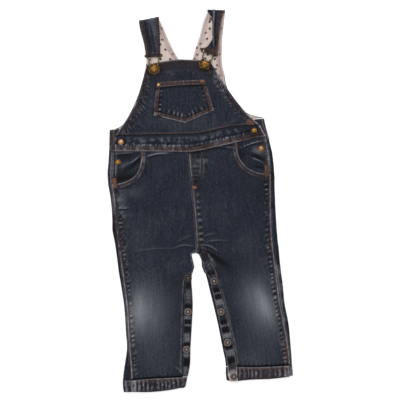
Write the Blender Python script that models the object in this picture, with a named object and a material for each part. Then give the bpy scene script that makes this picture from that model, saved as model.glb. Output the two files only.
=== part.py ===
"""Baby dungarees in dark denim, laid flat and face up, the straps folded over to the bib.

The origin is on the floor under the middle of the garment, +Y runs from the hems to the straps, and
+Z is up. Left means -X. Tables are in millimetres and the meshes in metres. Every panel is laid on the
heap of panels that are already there, a seam gap above them, in the order in which they are made.
"""
import math

import bmesh
import bpy
import numpy as np
from mathutils import Vector
from mathutils.geometry import delaunay_2d_cdt

MM = 0.001

# Driving sizes
DENIM = 1.2            # one layer of denim
COTTON = 1.0           # one layer of printed cotton
TURNED = 2.0           # denim turned on itself: hems, waistband, plackets
GAP = 0.3              # between a piece and what it lies on
SEAM = 0.2             # between pieces side by side, on each of them
CELL = 11.0            # spacing of a panel's inner points
CROWN = 0.9            # how far the middle of a panel stands off
BIB_CROWN, POCKET_CROWN, HIP_CROWN, BAND_CROWN = 0.7, 0.6, 0.3, 0.2
CROWN_REACH = 12.0     # the crown has risen this far from the edge
HEAP_STEP = 1.5        # the heap's height is kept this closely
STRAP_INSET = 0.4      # the facing stops this far inside the strap's edges
WIRE = 2.2             # buckle wire
SNAP = 9.5             # cap of a side snap
SOCKET = 10.8          # socket ring of a leg snap
DOME = 12.7            # dome button on the bib
RIVET = 4.4            # head of the pocket's rivet

# The outer side of each leg: where the back folds round, and the side seam on the front
SIDE_COLUMNS = ("y", "fold", "seam")
SIDE_LEFT = (
    (74.0, -137.0, -131.5),
    (51.5, -137.5, -132.5),
    (30.5, -139.0, -133.0),
    (9.5, -135.5, -131.0),
    (-11.5, -133.0, -128.5),
    (-35.5, -131.5, -126.5),
    (-59.5, -128.5, -124.0),
    (-92.5, -123.0, -119.5),
    (-121.0, -118.5, -115.5),
    (-157.0, -114.0, -111.0),
    (-203.5, -111.0, -108.0),
    (-224.5, -110.0, -106.5),
    (-242.5, -112.0, -105.0),
    (-271.0, -116.5, -103.5),
    (-288.0, -115.0, -104.0),
)
SIDE_RIGHT = (
    (92.0, 103.0, 99.5),
    (75.5, 107.5, 102.5),
    (56.0, 110.0, 105.0),
    (37.0, 111.5, 105.5),
    (-7.0, 112.5, 106.0),
    (-32.5, 114.0, 106.5),
    (-59.5, 116.5, 108.0),
    (-83.5, 120.0, 111.0),
    (-125.5, 125.0, 116.0),
    (-157.0, 129.0, 120.5),
    (-190.0, 133.5, 127.0),
    (-212.5, 135.0, 131.0),
    (-248.0, 138.0, 134.8),
    (-266.0, 139.0, 134.0),
)
# The front seam from the waistband to the crotch
CENTRE_COLUMNS = ("y", "x")
CENTRE = (
    (76.0, -17.8),
    (54.5, -16.0),
    (14.0, -12.0),
    (-32.5, -7.5),
    (-68.5, -6.0),
    (-80.0, -7.5),
)
# The inner leg: the line where the placket is stitched, and the edges of front and back
INNER_COLUMNS = ("y", "placket", "front", "back")
INNER_LEFT = (
    (-80.5, -14.0, -13.0, -14.5),
    (-92.0, -15.0, -10.5, -12.0),
    (-107.0, -16.5, -9.5, -11.0),
    (-111.0, -19.0, -12.5, -14.0),
    (-121.0, -23.0, -13.0, -14.5),
    (-136.0, -24.5, -12.0, -13.5),
    (-157.0, -25.5, -11.0, -12.5),
    (-180.0, -26.0, -12.0, -13.5),
    (-224.5, -27.0, -14.5, -16.0),
    (-250.0, -27.5, -15.5, -17.0),
    (-266.0, -26.5, -19.0, -20.0),
    (-284.0, -30.0, -22.0, -24.0),
)
INNER_RIGHT = (
    (-80.5, 13.5, -2.5, -2.0),
    (-91.0, 16.5, 2.7, 2.5),
    (-102.0, 22.0, 4.2, 3.2),
    (-113.5, 26.0, 11.5, 8.5),
    (-128.5, 29.5, 16.0, 12.2),
    (-157.5, 36.5, 23.0, 19.5),
    (-180.5, 42.0, 28.0, 25.0),
    (-221.5, 51.0, 36.0, 33.2),
    (-250.0, 55.0, 40.5, 38.3),
    (-259.0, 55.5, 41.0, 38.0),
    (-271.5, 56.5, 44.5, 39.5),
)
CROTCH = -79.0         # the backs meet down to here
PLACKET_TOP = -110.5   # the back placket starts here, a step below the leg's inner edge
PLACKET_BOTTOM_LEFT, PLACKET_BOTTOM_RIGHT = -264.8, -249.6
# The back panels' top under the waistband (outer side, inner side), and how much lower than its inner
# end the hem's outer end lies
BACK_TOP_LEFT, BACK_TOP_RIGHT = (72.8, 81.8), (90.9, 81.8)
BACK_DROP_LEFT, BACK_DROP_RIGHT = 5.2, -1.2
# Curves of points (x, y)
BAND_TOP = (
    (-128.0, 97.0), (-78.5, 98.0), (-26.0, 99.0), (1.0, 100.5), (32.0, 107.5), (58.0, 111.5), (89.5, 113.0),
)
BAND_BOTTOM = (
    (-128.5, 73.0), (-72.5, 73.0), (-16.0, 72.5), (15.0, 78.0), (49.5, 85.5), (75.5, 91.3), (99.0, 96.2),
)
BIB_LEFT = ((-128.0, 97.0), (-113.0, 118.0), (-98.0, 142.5), (-89.5, 170.0), (-80.0, 203.0))
BIB_RIGHT = ((89.5, 113.0), (72.0, 128.5), (53.0, 150.5), (35.0, 176.5), (14.5, 208.5))
BIB_TOP = ((-80.0, 203.0), (-60.5, 207.5), (-30.5, 211.5), (-0.5, 210.0), (14.5, 208.5))
MOUTH_LEFT = (
    (-88.5, 73.0), (-89.0, 60.5), (-91.5, 47.5), (-97.0, 38.0), (-106.0, 31.0), (-118.0, 26.0), (-132.5, 23.5),
)
MOUTH_RIGHT = (
    (55.5, 87.0), (56.0, 74.0), (59.0, 63.5), (65.0, 54.5), (73.0, 47.5), (86.0, 42.0), (105.5, 38.5),
)
HIP_LEFT = ((-80.5, 72.6), (-81.0, 58.0), (-85.0, 42.0), (-93.0, 30.0), (-106.0, 22.0), (-131.3, 14.5))
HIP_RIGHT = ((47.5, 84.8), (48.0, 72.0), (52.0, 58.0), (60.0, 46.0), (74.0, 37.0), (105.7, 29.5))
HEM_TOP_LEFT = ((-103.5, -270.5), (-72.5, -267.5), (-26.5, -265.5))
HEM_TOP_RIGHT = ((56.0, -250.0), (92.0, -250.0), (134.8, -248.0))
HEM_BOTTOM_LEFT = ((-104.0, -287.8), (-73.5, -288.0), (-43.0, -284.5), (-22.0, -280.0))
HEM_BOTTOM_RIGHT = ((40.0, -270.5), (48.0, -272.0), (76.5, -269.5), (107.0, -268.3), (134.0, -265.0))
# Under the snap strips the hems reach a little further in
HEM_INNER_LEFT = (-19.0, -265.0)
HEM_INNER_RIGHT = (39.5, -250.5)
# The left front's corner that laps over the right one at the crotch
CROTCH_FOLD = (5.0, -72.5)
CROTCH_POINT = (-3.5, -79.6)
BACK_ARM_LEFT = ((-136.0, 106.0), (-117.5, 112.5), (-101.0, 140.0), (-88.0, 173.0), (-84.5, 186.5))
BACK_ARM_RIGHT = ((95.0, 124.5), (71.5, 130.5), (53.0, 149.0), (41.0, 167.5), (36.5, 186.5))
POCKET_TOP = ((-65.0, 176.5), (-30.5, 179.5), (6.5, 181.0))
POCKET_LEFT = ((-65.0, 176.5), (-68.5, 150.0), (-69.5, 127.0))
POCKET_RIGHT = ((6.5, 181.0), (14.0, 158.0), (20.5, 134.5))
POCKET_POINT = (-22.5, 115.5)
POCKET_HEM = 7.7       # depth of the pocket's turned top
# The back hems, each row the inner end, the fold and the seam
BACK_HEM_LEFT = (
    ((-20.5, -265.8), (-116.5, -270.8), (-103.9, -270.8)),
    ((-22.5, -273.0), (-116.2, -279.5), (-104.0, -279.5)),
    ((-24.5, -281.5), (-115.0, -287.5), (-104.2, -287.5)),
)
BACK_HEM_RIGHT = (
    ((38.8, -250.8), (138.0, -249.6), (135.0, -249.6)),
    ((38.6, -260.0), (138.8, -256.0), (134.8, -256.0)),
    ((39.8, -269.5), (139.0, -263.0), (134.2, -263.6)),
)
# The back waistband, each row the left seam and fold, then the right fold and seam
BACK_BAND = (
    ((-128.7, 73.2), (-137.0, 73.2), (103.8, 91.4), (100.4, 92.4)),
    ((-128.5, 84.0), (-136.7, 84.0), (101.7, 98.2), (99.2, 99.0)),
    ((-128.4, 96.0), (-136.3, 95.0), (98.4, 109.5), (93.4, 110.0)),
    ((-128.4, 105.0), (-136.0, 105.0), (95.5, 123.6), (91.0, 122.9)),
)
BODICE_BOTTOM = ((-135.5, 105.4), (94.8, 123.9))
BODICE_INSET, FACING_INSET = GAP / 2, 1.2

# Folds in the cloth: the crest from start to end, half the width, and the height
FOLD_COLUMNS = ("x0", "y0", "x1", "y1", "width", "height")
FRONT_FOLDS = (
    (-99.0, -77.0, -20.0, -69.0, 9.0, 1.0),
    (-1.0, -67.0, 25.0, -79.0, 7.0, 1.4),
    (-86.0, 10.0, -84.0, -60.0, 16.0, 1.1),
    (74.0, 5.0, 80.0, -60.0, 16.0, 1.1),
    (-90.0, -150.0, -92.0, -180.0, 20.0, 1.4),
    (98.0, -142.0, 104.0, -172.0, 20.0, 1.4),
    (-60.0, -215.0, -66.0, -250.0, 10.0, 1.0),
    (98.0, -205.0, 108.0, -238.0, 10.0, 1.0),
    (-44.0, -100.0, -50.0, -190.0, 10.0, 0.9),
    (60.0, -110.0, 84.0, -240.0, 9.0, 0.9),
    (-60.0, 30.0, -30.0, 0.0, 10.0, 0.7),
    (20.0, 50.0, 30.0, -20.0, 12.0, 0.8),
)
BIB_FOLDS = (
    (-60.0, 200.0, -40.0, 186.0, 8.0, 0.7),
    (0.0, 200.0, -12.0, 188.0, 8.0, 0.7),
    (-104.0, 125.0, -85.0, 108.0, 8.0, 0.9),
    (62.0, 122.0, 40.0, 114.0, 8.0, 0.9),
)
HIP_FOLDS = (
    (-101.0, 55.0, -92.0, 66.0, 5.0, 0.9),
    (64.0, 62.0, 78.0, 76.0, 5.0, 0.9),
)

# Straps, from the bodice up to the fold (lower run) and down to the buckle (upper run)
STRAP_COLUMNS = ("x_left", "y_left", "x_right", "y_right", "arch")
STRAP_LOWER_LEFT = (
    (-84.5, 187.0, -20.0, 187.0, 0.0),
    (-82.0, 200.0, -26.0, 200.5, 0.0),
    (-80.0, 212.5, -33.5, 212.5, 0.0),
    (-81.0, 226.0, -41.5, 226.0, 0.0),
    (-85.0, 243.5, -49.5, 243.5, 0.0),
    (-88.5, 258.5, -56.0, 259.0, 0.0),
)
STRAP_UPPER_LEFT = (
    (-90.0, 257.0, -62.0, 264.0, 0.6),
    (-86.5, 244.5, -61.0, 247.0, 1.0),
    (-83.5, 232.5, -60.5, 234.0, 0.8),
    (-82.0, 222.5, -60.5, 223.5, 0.2),
)
STRAP_LOWER_RIGHT = (
    (-16.5, 187.0, 36.5, 187.0, 0.0),
    (-14.5, 200.0, 33.0, 200.0, 0.0),
    (-11.0, 213.0, 31.5, 213.0, 0.0),
    (-7.0, 227.5, 32.0, 227.5, 0.0),
    (-0.5, 245.5, 32.5, 245.5, 0.0),
    (4.5, 266.5, 35.0, 266.5, 0.0),
)
STRAP_UPPER_RIGHT = (
    (17.0, 275.0, 32.0, 275.0, 2.0),
    (19.0, 262.0, 29.5, 262.0, 3.0),
    (17.0, 246.0, 27.5, 246.0, 3.0),
    (13.5, 234.0, 27.0, 233.0, 1.6),
    (8.5, 227.5, 26.5, 224.0, 0.2),
)
# The strap's top fold, and its edges over the buckle's bar: points (x, y) left and right
STRAP_TOP_LEFT = ((-91.5, 270.5), (-62.5, 276.0))
STRAP_TOP_RIGHT = ((11.0, 287.0), (36.8, 286.0))
STRAP_BAR_LEFT = ((-81.5, 219.2), (-60.5, 219.8))
STRAP_BAR_RIGHT = ((6.3, 226.2), (25.2, 220.4))
STRAP_END = (0.6, -1.9, -4.6)          # the cloth's last rows, before and past the bar

# Half of a buckle: distances across and along from the button's middle, and the rise from bar to loop
BUCKLE_HALF = (
    (9.0, 21.5, 0.0),
    (12.2, 21.2, 0.0),
    (13.0, 19.8, 0.0),
    (11.0, 18.0, 0.0),
    (8.4, 16.4, 0.1),
    (7.1, 13.6, 0.7),
    (7.3, 10.6, 1.9),
)
BUCKLE_LOOP = 8.4       # radius of the loop round the button
BUCKLE_WAVE = 0.06      # share of the radius by which its six lobes swell
BUCKLE_REACH = 21.5     # from the button to the bar
BUCKLE_SLACK = 0.2      # under the loop
BAR_LEVEL = DENIM + COTTON + 2 * GAP + WIRE / 2
SHANK, SHANK_FOOT = 3.0, 4.2           # radii of the button's shank and its foot
BUTTON_LEFT = (-69.0, 196.7, 3.5)      # x, y, turn of the buckle in degrees
BUTTON_RIGHT = (7.0, 203.3, -20.0)

SIDE_SNAPS = ((-119.0, 87.0), (-123.5, 57.0), (81.0, 104.5), (91.5, 77.5))
LEG_SNAPS_LEFT = ((-18.3, -117.0), (-18.3, -167.5), (-20.5, -224.0))
LEG_SNAPS_RIGHT = ((20.6, -121.5), (31.0, -167.5), (41.0, -213.5), (50.2, -264.0))
RIVET_PLACE = (-62.5, 172.5)


class Table:
    """Rows with named columns, read smoothly between the rows by the first column."""

    def __init__(self, columns, rows):
        order = sorted(rows)
        self.columns = {name: np.array([row[k] for row in order]) for k, name in enumerate(columns)}
        self.key = columns[0]

    def at(self, name, y):
        """The column's value at y, on a cubic curve through the rows."""
        keys, values = self.columns[self.key], self.columns[name]
        slopes = np.gradient(values, keys)
        k = int(np.clip(np.searchsorted(keys, y) - 1, 0, len(keys) - 2))
        span = keys[k + 1] - keys[k]
        t = min(max((y - keys[k]) / span, 0.0), 1.0)
        start = (2 * t**3 - 3 * t**2 + 1) * values[k] + (t**3 - 2 * t**2 + t) * span * slopes[k]
        end = (3 * t**2 - 2 * t**3) * values[k + 1] + (t**3 - t**2) * span * slopes[k + 1]
        return float(start + end)

    def line(self, name, start, stop):
        """Points (x, y) down a column from y = start to y = stop, about a cell apart."""
        count = max(1, round(abs(stop - start) / CELL))
        return [(self.at(name, y), float(y)) for y in np.linspace(start, stop, count + 1)]


def smooth(points, spacing=CELL):
    """Points about a spacing apart on a smooth curve through the given ones."""
    given = np.array(points, float)
    curve = given
    if len(given) > 2:
        padded = np.vstack([2 * given[0] - given[1], given, 2 * given[-1] - given[-2]])
        curve = []
        for a, b, c, d in zip(padded, padded[1:], padded[2:], padded[3:]):
            for t in np.linspace(0.0, 1.0, 9)[:-1]:
                bend = (2 * a - 5 * b + 4 * c - d) * t * t + (3 * b - 3 * c + d - a) * t**3
                curve.append(0.5 * (2 * b + (c - a) * t + bend))
        curve = np.array(curve + [given[-1]])
    run = np.concatenate([[0.0], np.cumsum(np.linalg.norm(np.diff(curve, axis=0), axis=1))])
    count = max(1, round(run[-1] / spacing))
    at = np.linspace(0.0, run[-1], count + 1)
    across, along = np.interp(at, run, curve[:, 0]), np.interp(at, run, curve[:, 1])
    return [(float(x), float(y)) for x, y in zip(across, along)]


def between(points, low, high):
    """The part of a curve whose x lies between low and high, with its ends on them."""
    fine = np.array(smooth(points, 1.0))
    count = max(1, round((high - low) / CELL))
    return [(float(x), float(np.interp(x, fine[:, 0], fine[:, 1]))) for x in np.linspace(low, high, count + 1)]


def outline(*curves):
    """One closed outline from curves that follow each other, without doubled corners."""
    corners = []
    for curve in curves:
        for point in curve:
            if not corners or math.dist(point, corners[-1]) > 0.8:
                corners.append(point)
    if math.dist(corners[0], corners[-1]) < 0.8:
        corners.pop()
    area = sum(a[0] * b[1] - b[0] * a[1] for a, b in zip(corners, corners[1:] + corners[:1]))
    return corners if area > 0 else corners[::-1]


def inset(corners, distance):
    """The outline moved inwards by a distance; its corners run anticlockwise."""
    moved = []
    for before, here, after in zip(corners[-1:] + corners[:-1], corners, corners[1:] + corners[:1]):
        first = np.subtract(here, before) / math.dist(here, before)
        second = np.subtract(after, here) / math.dist(after, here)
        inward = np.array([-first[1] - second[1], first[0] + second[0]])
        inward /= max(np.linalg.norm(inward), 1e-6)
        spread = max(float(np.dot(inward, (-second[1], second[0]))), 0.4)
        moved.append(tuple(np.add(here, inward * distance / spread)))
    return moved


def distance_to(points, corners):
    """How far each point lies from the outline."""
    points = np.asarray(points, float)
    best = np.full(len(points), 1e9)
    for a, b in zip(corners, corners[1:] + corners[:1]):
        a, side = np.array(a), np.subtract(b, a)
        t = np.clip((points - a) @ side / (side @ side), 0.0, 1.0)
        best = np.minimum(best, np.linalg.norm(points - a - t[:, None] * side, axis=1))
    return best


def is_inside(points, corners):
    """Which points lie inside the outline."""
    points = np.asarray(points, float)
    inside = np.zeros(len(points), bool)
    for (ax, ay), (bx, by) in zip(corners, corners[1:] + corners[:1]):
        if ay == by:
            continue
        crosses = (ay > points[:, 1]) != (by > points[:, 1])
        inside ^= crosses & (points[:, 0] < (bx - ax) * (points[:, 1] - ay) / (by - ay) + ax)
    return inside


def triangulated(edge, inner=()):
    """Points and triangles that fill an outline, through the inner points."""
    given = [Vector(point) for point in edge] + [Vector(point) for point in inner]
    found, _, triangles = delaunay_2d_cdt(given, [], [list(range(len(edge)))], 1, 1e-4, False)[:3]
    flat = np.array([tuple(point) for point in found])
    middles = flat[np.array(triangles)].mean(axis=1)
    kept = is_inside(middles, edge)
    return flat, [tuple(face) for face, keep in zip(triangles, kept) if keep]


class Heap:
    """The height of what lies on the floor so far, kept on a fine grid."""

    def __init__(self):
        self.x = np.arange(-150.0, 150.0, HEAP_STEP)
        self.y = np.arange(-300.0, 300.0, HEAP_STEP)
        self.top = np.zeros((len(self.y), len(self.x)))

    def cells(self, triangle):
        """The grid cells in a triangle and the triangle's height there."""
        low, high = triangle.min(axis=0), triangle.max(axis=0)
        columns = np.nonzero((self.x >= low[0]) & (self.x <= high[0]))[0]
        rows = np.nonzero((self.y >= low[1]) & (self.y <= high[1]))[0]
        if not len(columns) or not len(rows):
            return None
        column, row = np.meshgrid(columns, rows)
        (ax, ay, az), (bx, by, bz), (cx, cy, cz) = triangle
        area = (bx - ax) * (cy - ay) - (cx - ax) * (by - ay)
        if abs(area) < 1e-9:
            return None
        x, y = self.x[column], self.y[row]
        v = ((x - ax) * (cy - ay) - (cx - ax) * (y - ay)) / area
        w = ((bx - ax) * (y - ay) - (x - ax) * (by - ay)) / area
        hit = (v >= -0.01) & (w >= -0.01) & (v + w <= 1.01)
        return row[hit], column[hit], (az + v * (bz - az) + w * (cz - az))[hit]

    def lay(self, points, triangles):
        """Raise the heap to a mesh's surface."""
        for triangle in np.asarray(points)[np.asarray(triangles)]:
            found = self.cells(triangle)
            if found:
                row, column, height = found
                self.top[row, column] = np.maximum(self.top[row, column], height)

    def under(self, points, triangles):
        """The highest place near each point of a flat mesh, within the mesh's own outline."""
        flat = np.column_stack([points, np.zeros(len(points))])
        own = np.zeros_like(self.top)
        longest = 0.0
        for triangle in flat[np.asarray(triangles)]:
            longest = max(longest, *(math.dist(triangle[k], triangle[k - 1]) for k in range(3)))
            found = self.cells(triangle)
            if found:
                own[found[0], found[1]] = self.top[found[0], found[1]]
        reach = math.ceil(min(longest, 1.5 * CELL) / HEAP_STEP)
        for axis in (0, 1):
            spread = own.copy()
            for shift in range(1, reach + 1):
                for turn in (shift, -shift):
                    spread = np.maximum(spread, np.roll(own, turn, axis=axis))
            own = spread
        column = np.clip(np.searchsorted(self.x, points[:, 0]), 0, len(self.x) - 1)
        row = np.clip(np.searchsorted(self.y, points[:, 1]), 0, len(self.y) - 1)
        return own[row, column]

    def highest(self, x, y, radius):
        """The highest place within a radius."""
        near = np.hypot(*np.meshgrid(self.x - x, self.y - y)) <= radius + HEAP_STEP
        return float(self.top[near].max())


def fold_height(points, folds):
    """How far the folds lift each point."""
    lift = np.zeros(len(points))
    for row in folds:
        fold = dict(zip(FOLD_COLUMNS, row))
        start = np.array([fold["x0"], fold["y0"]])
        run = np.array([fold["x1"], fold["y1"]]) - start
        t = np.clip((points - start) @ run / (run @ run), 0.0, 1.0)
        away = np.linalg.norm(points - start - t[:, None] * run, axis=1) / fold["width"]
        lift = np.maximum(lift, fold["height"] * np.clip(1.0 - away**2, 0.0, 1.0))
    return lift


def material(name, colour, roughness, metallic=0.0):
    """A plain finish."""
    made = bpy.data.materials.new(name)
    made.use_nodes = True
    shader = made.node_tree.nodes["Principled BSDF"]
    shader.inputs["Base Color"].default_value = (*colour, 1.0)
    shader.inputs["Roughness"].default_value = roughness
    shader.inputs["Metallic"].default_value = metallic
    return made


class Garment:
    """Makes the pieces in order and keeps the heap that they lie on."""

    def __init__(self):
        self.heap = Heap()
        self.finishes = {
            "denim": material("denim", (0.025, 0.033, 0.048), 0.9),
            "print": material("printed_cotton", (0.62, 0.52, 0.49), 0.9),
            "brass": material("brass", (0.42, 0.30, 0.12), 0.35, 1.0),
            "bronze": material("antique_bronze", (0.20, 0.16, 0.09), 0.45, 1.0),
        }

    def add(self, name, points, faces, finish, lies=True, smooth_faces=False):
        """One closed body from points in millimetres, laid on the heap."""
        mesh = bpy.data.meshes.new(name)
        mesh.from_pydata([tuple(float(v) * MM for v in point) for point in points], [], faces)
        shape = bmesh.new()
        shape.from_mesh(mesh)
        bmesh.ops.triangulate(shape, faces=shape.faces[:], ngon_method="EAR_CLIP")
        bmesh.ops.recalc_face_normals(shape, faces=shape.faces[:])
        shape.to_mesh(mesh)
        shape.free()
        if smooth_faces:
            mesh.shade_smooth()
            mesh.set_sharp_from_angle(angle=math.radians(35.0))
        mesh.materials.append(self.finishes[finish])
        bpy.context.scene.collection.objects.link(bpy.data.objects.new(name, mesh))
        if lies:
            corners = np.array([tuple(vertex.co / MM) for vertex in mesh.vertices])
            self.heap.lay(corners, [tuple(face.vertices) for face in mesh.polygons])

    def panel(self, name, corners, finish="denim", thickness=DENIM, folds=(), crown=CROWN, apart=SEAM):
        """A panel of cloth with the given outline, laid on what is there."""
        edge = inset(corners, apart)
        low, high = np.min(edge, axis=0), np.max(edge, axis=0)
        across = np.arange(low[0] + CELL / 2, high[0], CELL)
        along = np.arange(low[1] + CELL / 2, high[1], CELL)
        grid = np.array([(x, y) for y in along for x in across]).reshape(-1, 2)
        if len(grid):
            grid = grid[is_inside(grid, edge)]
        if len(grid):
            grid = grid[distance_to(grid, edge) > 0.5 * CELL]
        flat, triangles = triangulated(edge, grid)
        rise = crown * (1.0 - np.exp(-distance_to(flat, edge) * 2.0 / CROWN_REACH))
        bottom = self.heap.under(flat, triangles) + GAP + rise + fold_height(flat, folds)
        self.close(name, flat, triangles, bottom, thickness, finish)

    def close(self, name, flat, triangles, bottom, thickness, finish):
        """Give a flat mesh its height and thickness, and walls round its edge."""
        count = len(flat)
        points = np.vstack([np.column_stack([flat, bottom]), np.column_stack([flat, bottom + thickness])])
        sides = {(a, b) for face in triangles for a, b in zip(face, face[1:] + face[:1])}
        faces = [face[::-1] for face in triangles]
        faces += [tuple(corner + count for corner in face) for face in triangles]
        faces += [(a, b, b + count, a + count) for a, b in sides if (b, a) not in sides]
        self.add(name, points, faces, finish)

    def loft(self, name, rings, finish="denim"):
        """A closed body through rings of equally many points, with flat ends."""
        count = len(rings[0])
        points = [point for ring in rings for point in ring]
        faces = [tuple(range(count))[::-1], tuple(range(len(points) - count, len(points)))]
        for row in range(len(rings) - 1):
            for k in range(count):
                a, b = row * count + k, row * count + (k + 1) % count
                faces.append((a, b, b + count, a + count))
        self.add(name, points, faces, finish)

    def turned(self, name, place, profile, finish, sides=16, seat=None):
        """A turned piece from a profile of (radius, height) that starts and ends on its axis."""
        x, y = place
        widest = max(radius for radius, _ in profile)
        base = (self.heap.highest(x, y, widest) if seat is None else seat) + GAP
        points = []
        rings = []
        for radius, height in profile:
            around = sides if radius > 0.0 else 1
            rings.append(range(len(points), len(points) + around))
            for k in range(around):
                turn = 2 * math.pi * k / sides
                points.append((x + radius * math.cos(turn), y + radius * math.sin(turn), base + height))
        faces = []
        for lower, upper in zip(rings, rings[1:]):
            for k in range(sides):
                quad = (lower[k % len(lower)], lower[(k + 1) % len(lower)],
                        upper[(k + 1) % len(upper)], upper[k % len(upper)])
                faces.append(tuple(dict.fromkeys(quad)))
        self.add(name, points, faces, finish, smooth_faces=True)


def folded_end(fold, seam, thickness, inward):
    """Points (x, y, z) from the floor round a fold and along its flange, outside then inside."""
    outer = thickness + GAP / 2
    middle = fold[0] + inward * outer
    outside, inside = [], []
    for turn in np.linspace(-90.0, 90.0, 5):
        c, s = math.cos(math.radians(turn)), math.sin(math.radians(turn))
        outside.append((middle - inward * outer * c, fold[1], outer + outer * s))
    for turn in np.linspace(90.0, -90.0, 3):
        c, s = math.cos(math.radians(turn)), math.sin(math.radians(turn))
        inside.append((middle - inward * GAP / 2 * c, fold[1], outer + GAP / 2 * s))
    flange = [(seam[0], seam[1], 2 * outer), (seam[0], seam[1], 2 * outer - thickness)]
    return outside + flange + inside


def wrapped_ring(inner, fold, seam, thickness, inward):
    """A back panel's section: flat on the floor, then round the fold to the side seam."""
    start = [(inner[0], inner[1], 0.0)]
    return start + folded_end(fold, seam, thickness, inward) + [(inner[0], inner[1], thickness)]


def back_panels(garment):
    """Left and right back, from the waistband to the hem, folded round the outer side."""
    sets = (
        ("left", SIDE_LEFT, INNER_LEFT, BACK_TOP_LEFT, PLACKET_BOTTOM_LEFT, BACK_DROP_LEFT, 1),
        ("right", SIDE_RIGHT, INNER_RIGHT, BACK_TOP_RIGHT, PLACKET_BOTTOM_RIGHT, BACK_DROP_RIGHT, -1),
    )
    centre = Table(CENTRE_COLUMNS, CENTRE)
    for name, side, inner, (top, top_inner), bottom, drop, sign in sets:
        sides, insides = Table(SIDE_COLUMNS, side), Table(INNER_COLUMNS, inner)
        rows = []
        for y, inner_y in zip(np.linspace(top, CROTCH, 10), np.linspace(top_inner, CROTCH, 10)):
            rows.append(((centre.at("x", inner_y) - sign * GAP, inner_y), y))
        for y in np.linspace(CROTCH - 2.0, PLACKET_TOP + 1.5, 4):
            rows.append(((insides.at("back", y), y), y))
        for _, y in insides.line("placket", PLACKET_TOP, bottom):
            share = (y - PLACKET_TOP) / (bottom - PLACKET_TOP)
            rows.append(((insides.at("placket", y) - sign * SEAM, y), y - share * drop))
        rings = [wrapped_ring(inner_point, (sides.at("fold", y), y), (sides.at("seam", y) - sign * SEAM, y),
                              DENIM, sign) for inner_point, y in rows]
        garment.loft(f"back_{name}", rings)


def back_hems(garment):
    """The turned ends of the back legs."""
    for name, rows, sign in (("left", BACK_HEM_LEFT, 1), ("right", BACK_HEM_RIGHT, -1)):
        garment.loft(f"hem_back_{name}", [wrapped_ring(*row, TURNED, sign) for row in rows])


def back_waistband(garment):
    """The back waistband, wrapped round both sides to the front waistband's ends."""
    rings = []
    for left_seam, left_fold, right_fold, right_seam in BACK_BAND:
        left = folded_end(left_fold, left_seam, TURNED, 1)
        right = folded_end(right_fold, right_seam, TURNED, -1)
        rings.append(left + right[::-1])
    garment.loft("back_waistband", rings)


def back_bodice(garment):
    """The back bodice up to the straps, and its printed facing."""
    shape = outline(BODICE_BOTTOM, smooth(BACK_ARM_RIGHT), smooth(BACK_ARM_LEFT)[::-1])
    flat_panel(garment, "back_bodice", shape, "denim", 0.0, DENIM, BODICE_INSET)
    flat_panel(garment, "back_facing", shape, "print", DENIM + GAP, COTTON, FACING_INSET)


def flat_panel(garment, name, corners, finish, bottom, thickness, apart):
    """A hidden panel that lies flat at a given height."""
    edge = inset(corners, apart)
    flat, triangles = triangulated(edge)
    garment.close(name, flat, triangles, np.full(len(flat), bottom), thickness, finish)


def back_plackets(garment):
    """The snap strips of the back legs, under the front ones."""
    sets = (("left", INNER_LEFT, PLACKET_BOTTOM_LEFT), ("right", INNER_RIGHT, PLACKET_BOTTOM_RIGHT))
    for name, inner, bottom in sets:
        insides = Table(INNER_COLUMNS, inner)
        shape = outline(insides.line("back", PLACKET_TOP, bottom), insides.line("placket", bottom, PLACKET_TOP))
        flat_panel(garment, f"placket_back_{name}", shape, "denim", 0.0, DENIM, SEAM + 0.05)


def strap_rows(lower, top, upper, inner_level, outer_level, narrow=0.0):
    """Rows (left, right, arch) of a strap's middle surface: lower run, fold and upper run."""
    radius = (outer_level - inner_level) / 2
    outermost = 1.5 * (DENIM + GAP) + COTTON + GAP / 2
    rows = []
    for row in lower:
        strap = dict(zip(STRAP_COLUMNS, row))
        rows.append(((strap["x_left"] + narrow, strap["y_left"], inner_level),
                     (strap["x_right"] - narrow, strap["y_right"], inner_level), strap["arch"]))
    (left_x, left_y), (right_x, right_y) = top
    for turn in np.radians(np.linspace(-90.0, 90.0, 7)):
        level = inner_level + radius + radius * math.sin(turn)
        forward = radius * math.cos(turn) - outermost
        rows.append(((left_x + narrow, left_y + forward, level),
                     (right_x - narrow, right_y + forward, level), 0.0))
    for row in upper:
        strap = dict(zip(STRAP_COLUMNS, row))
        rows.append(((strap["x_left"] + narrow, strap["y_left"], outer_level),
                     (strap["x_right"] - narrow, strap["y_right"], outer_level), strap["arch"]))
    return rows


def ribbon_rings(rows, thickness, across=4):
    """Closed rings of a ribbon: its middle surface thickened square to its run."""
    middles = [np.add(left, right) / 2 for left, right, _ in rows]
    rings = []
    for k, (left, right, arch) in enumerate(rows):
        before, after = middles[max(k - 1, 0)], middles[min(k + 1, len(rows) - 1)]
        run = np.array([0.0, after[1] - before[1], after[2] - before[2]])
        run /= np.linalg.norm(run)
        square = np.array([0.0, -run[2], run[1]]) * thickness / 2
        near, far = [], []
        for step in range(across + 1):
            share = step / across
            point = np.array(left) * (1 - share) + np.array(right) * share
            point[2] += arch * math.sin(math.pi * share)
            near.append(tuple(point - square))
            far.append(tuple(point + square))
        rings.append(near + far[::-1])
    return rings


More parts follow.
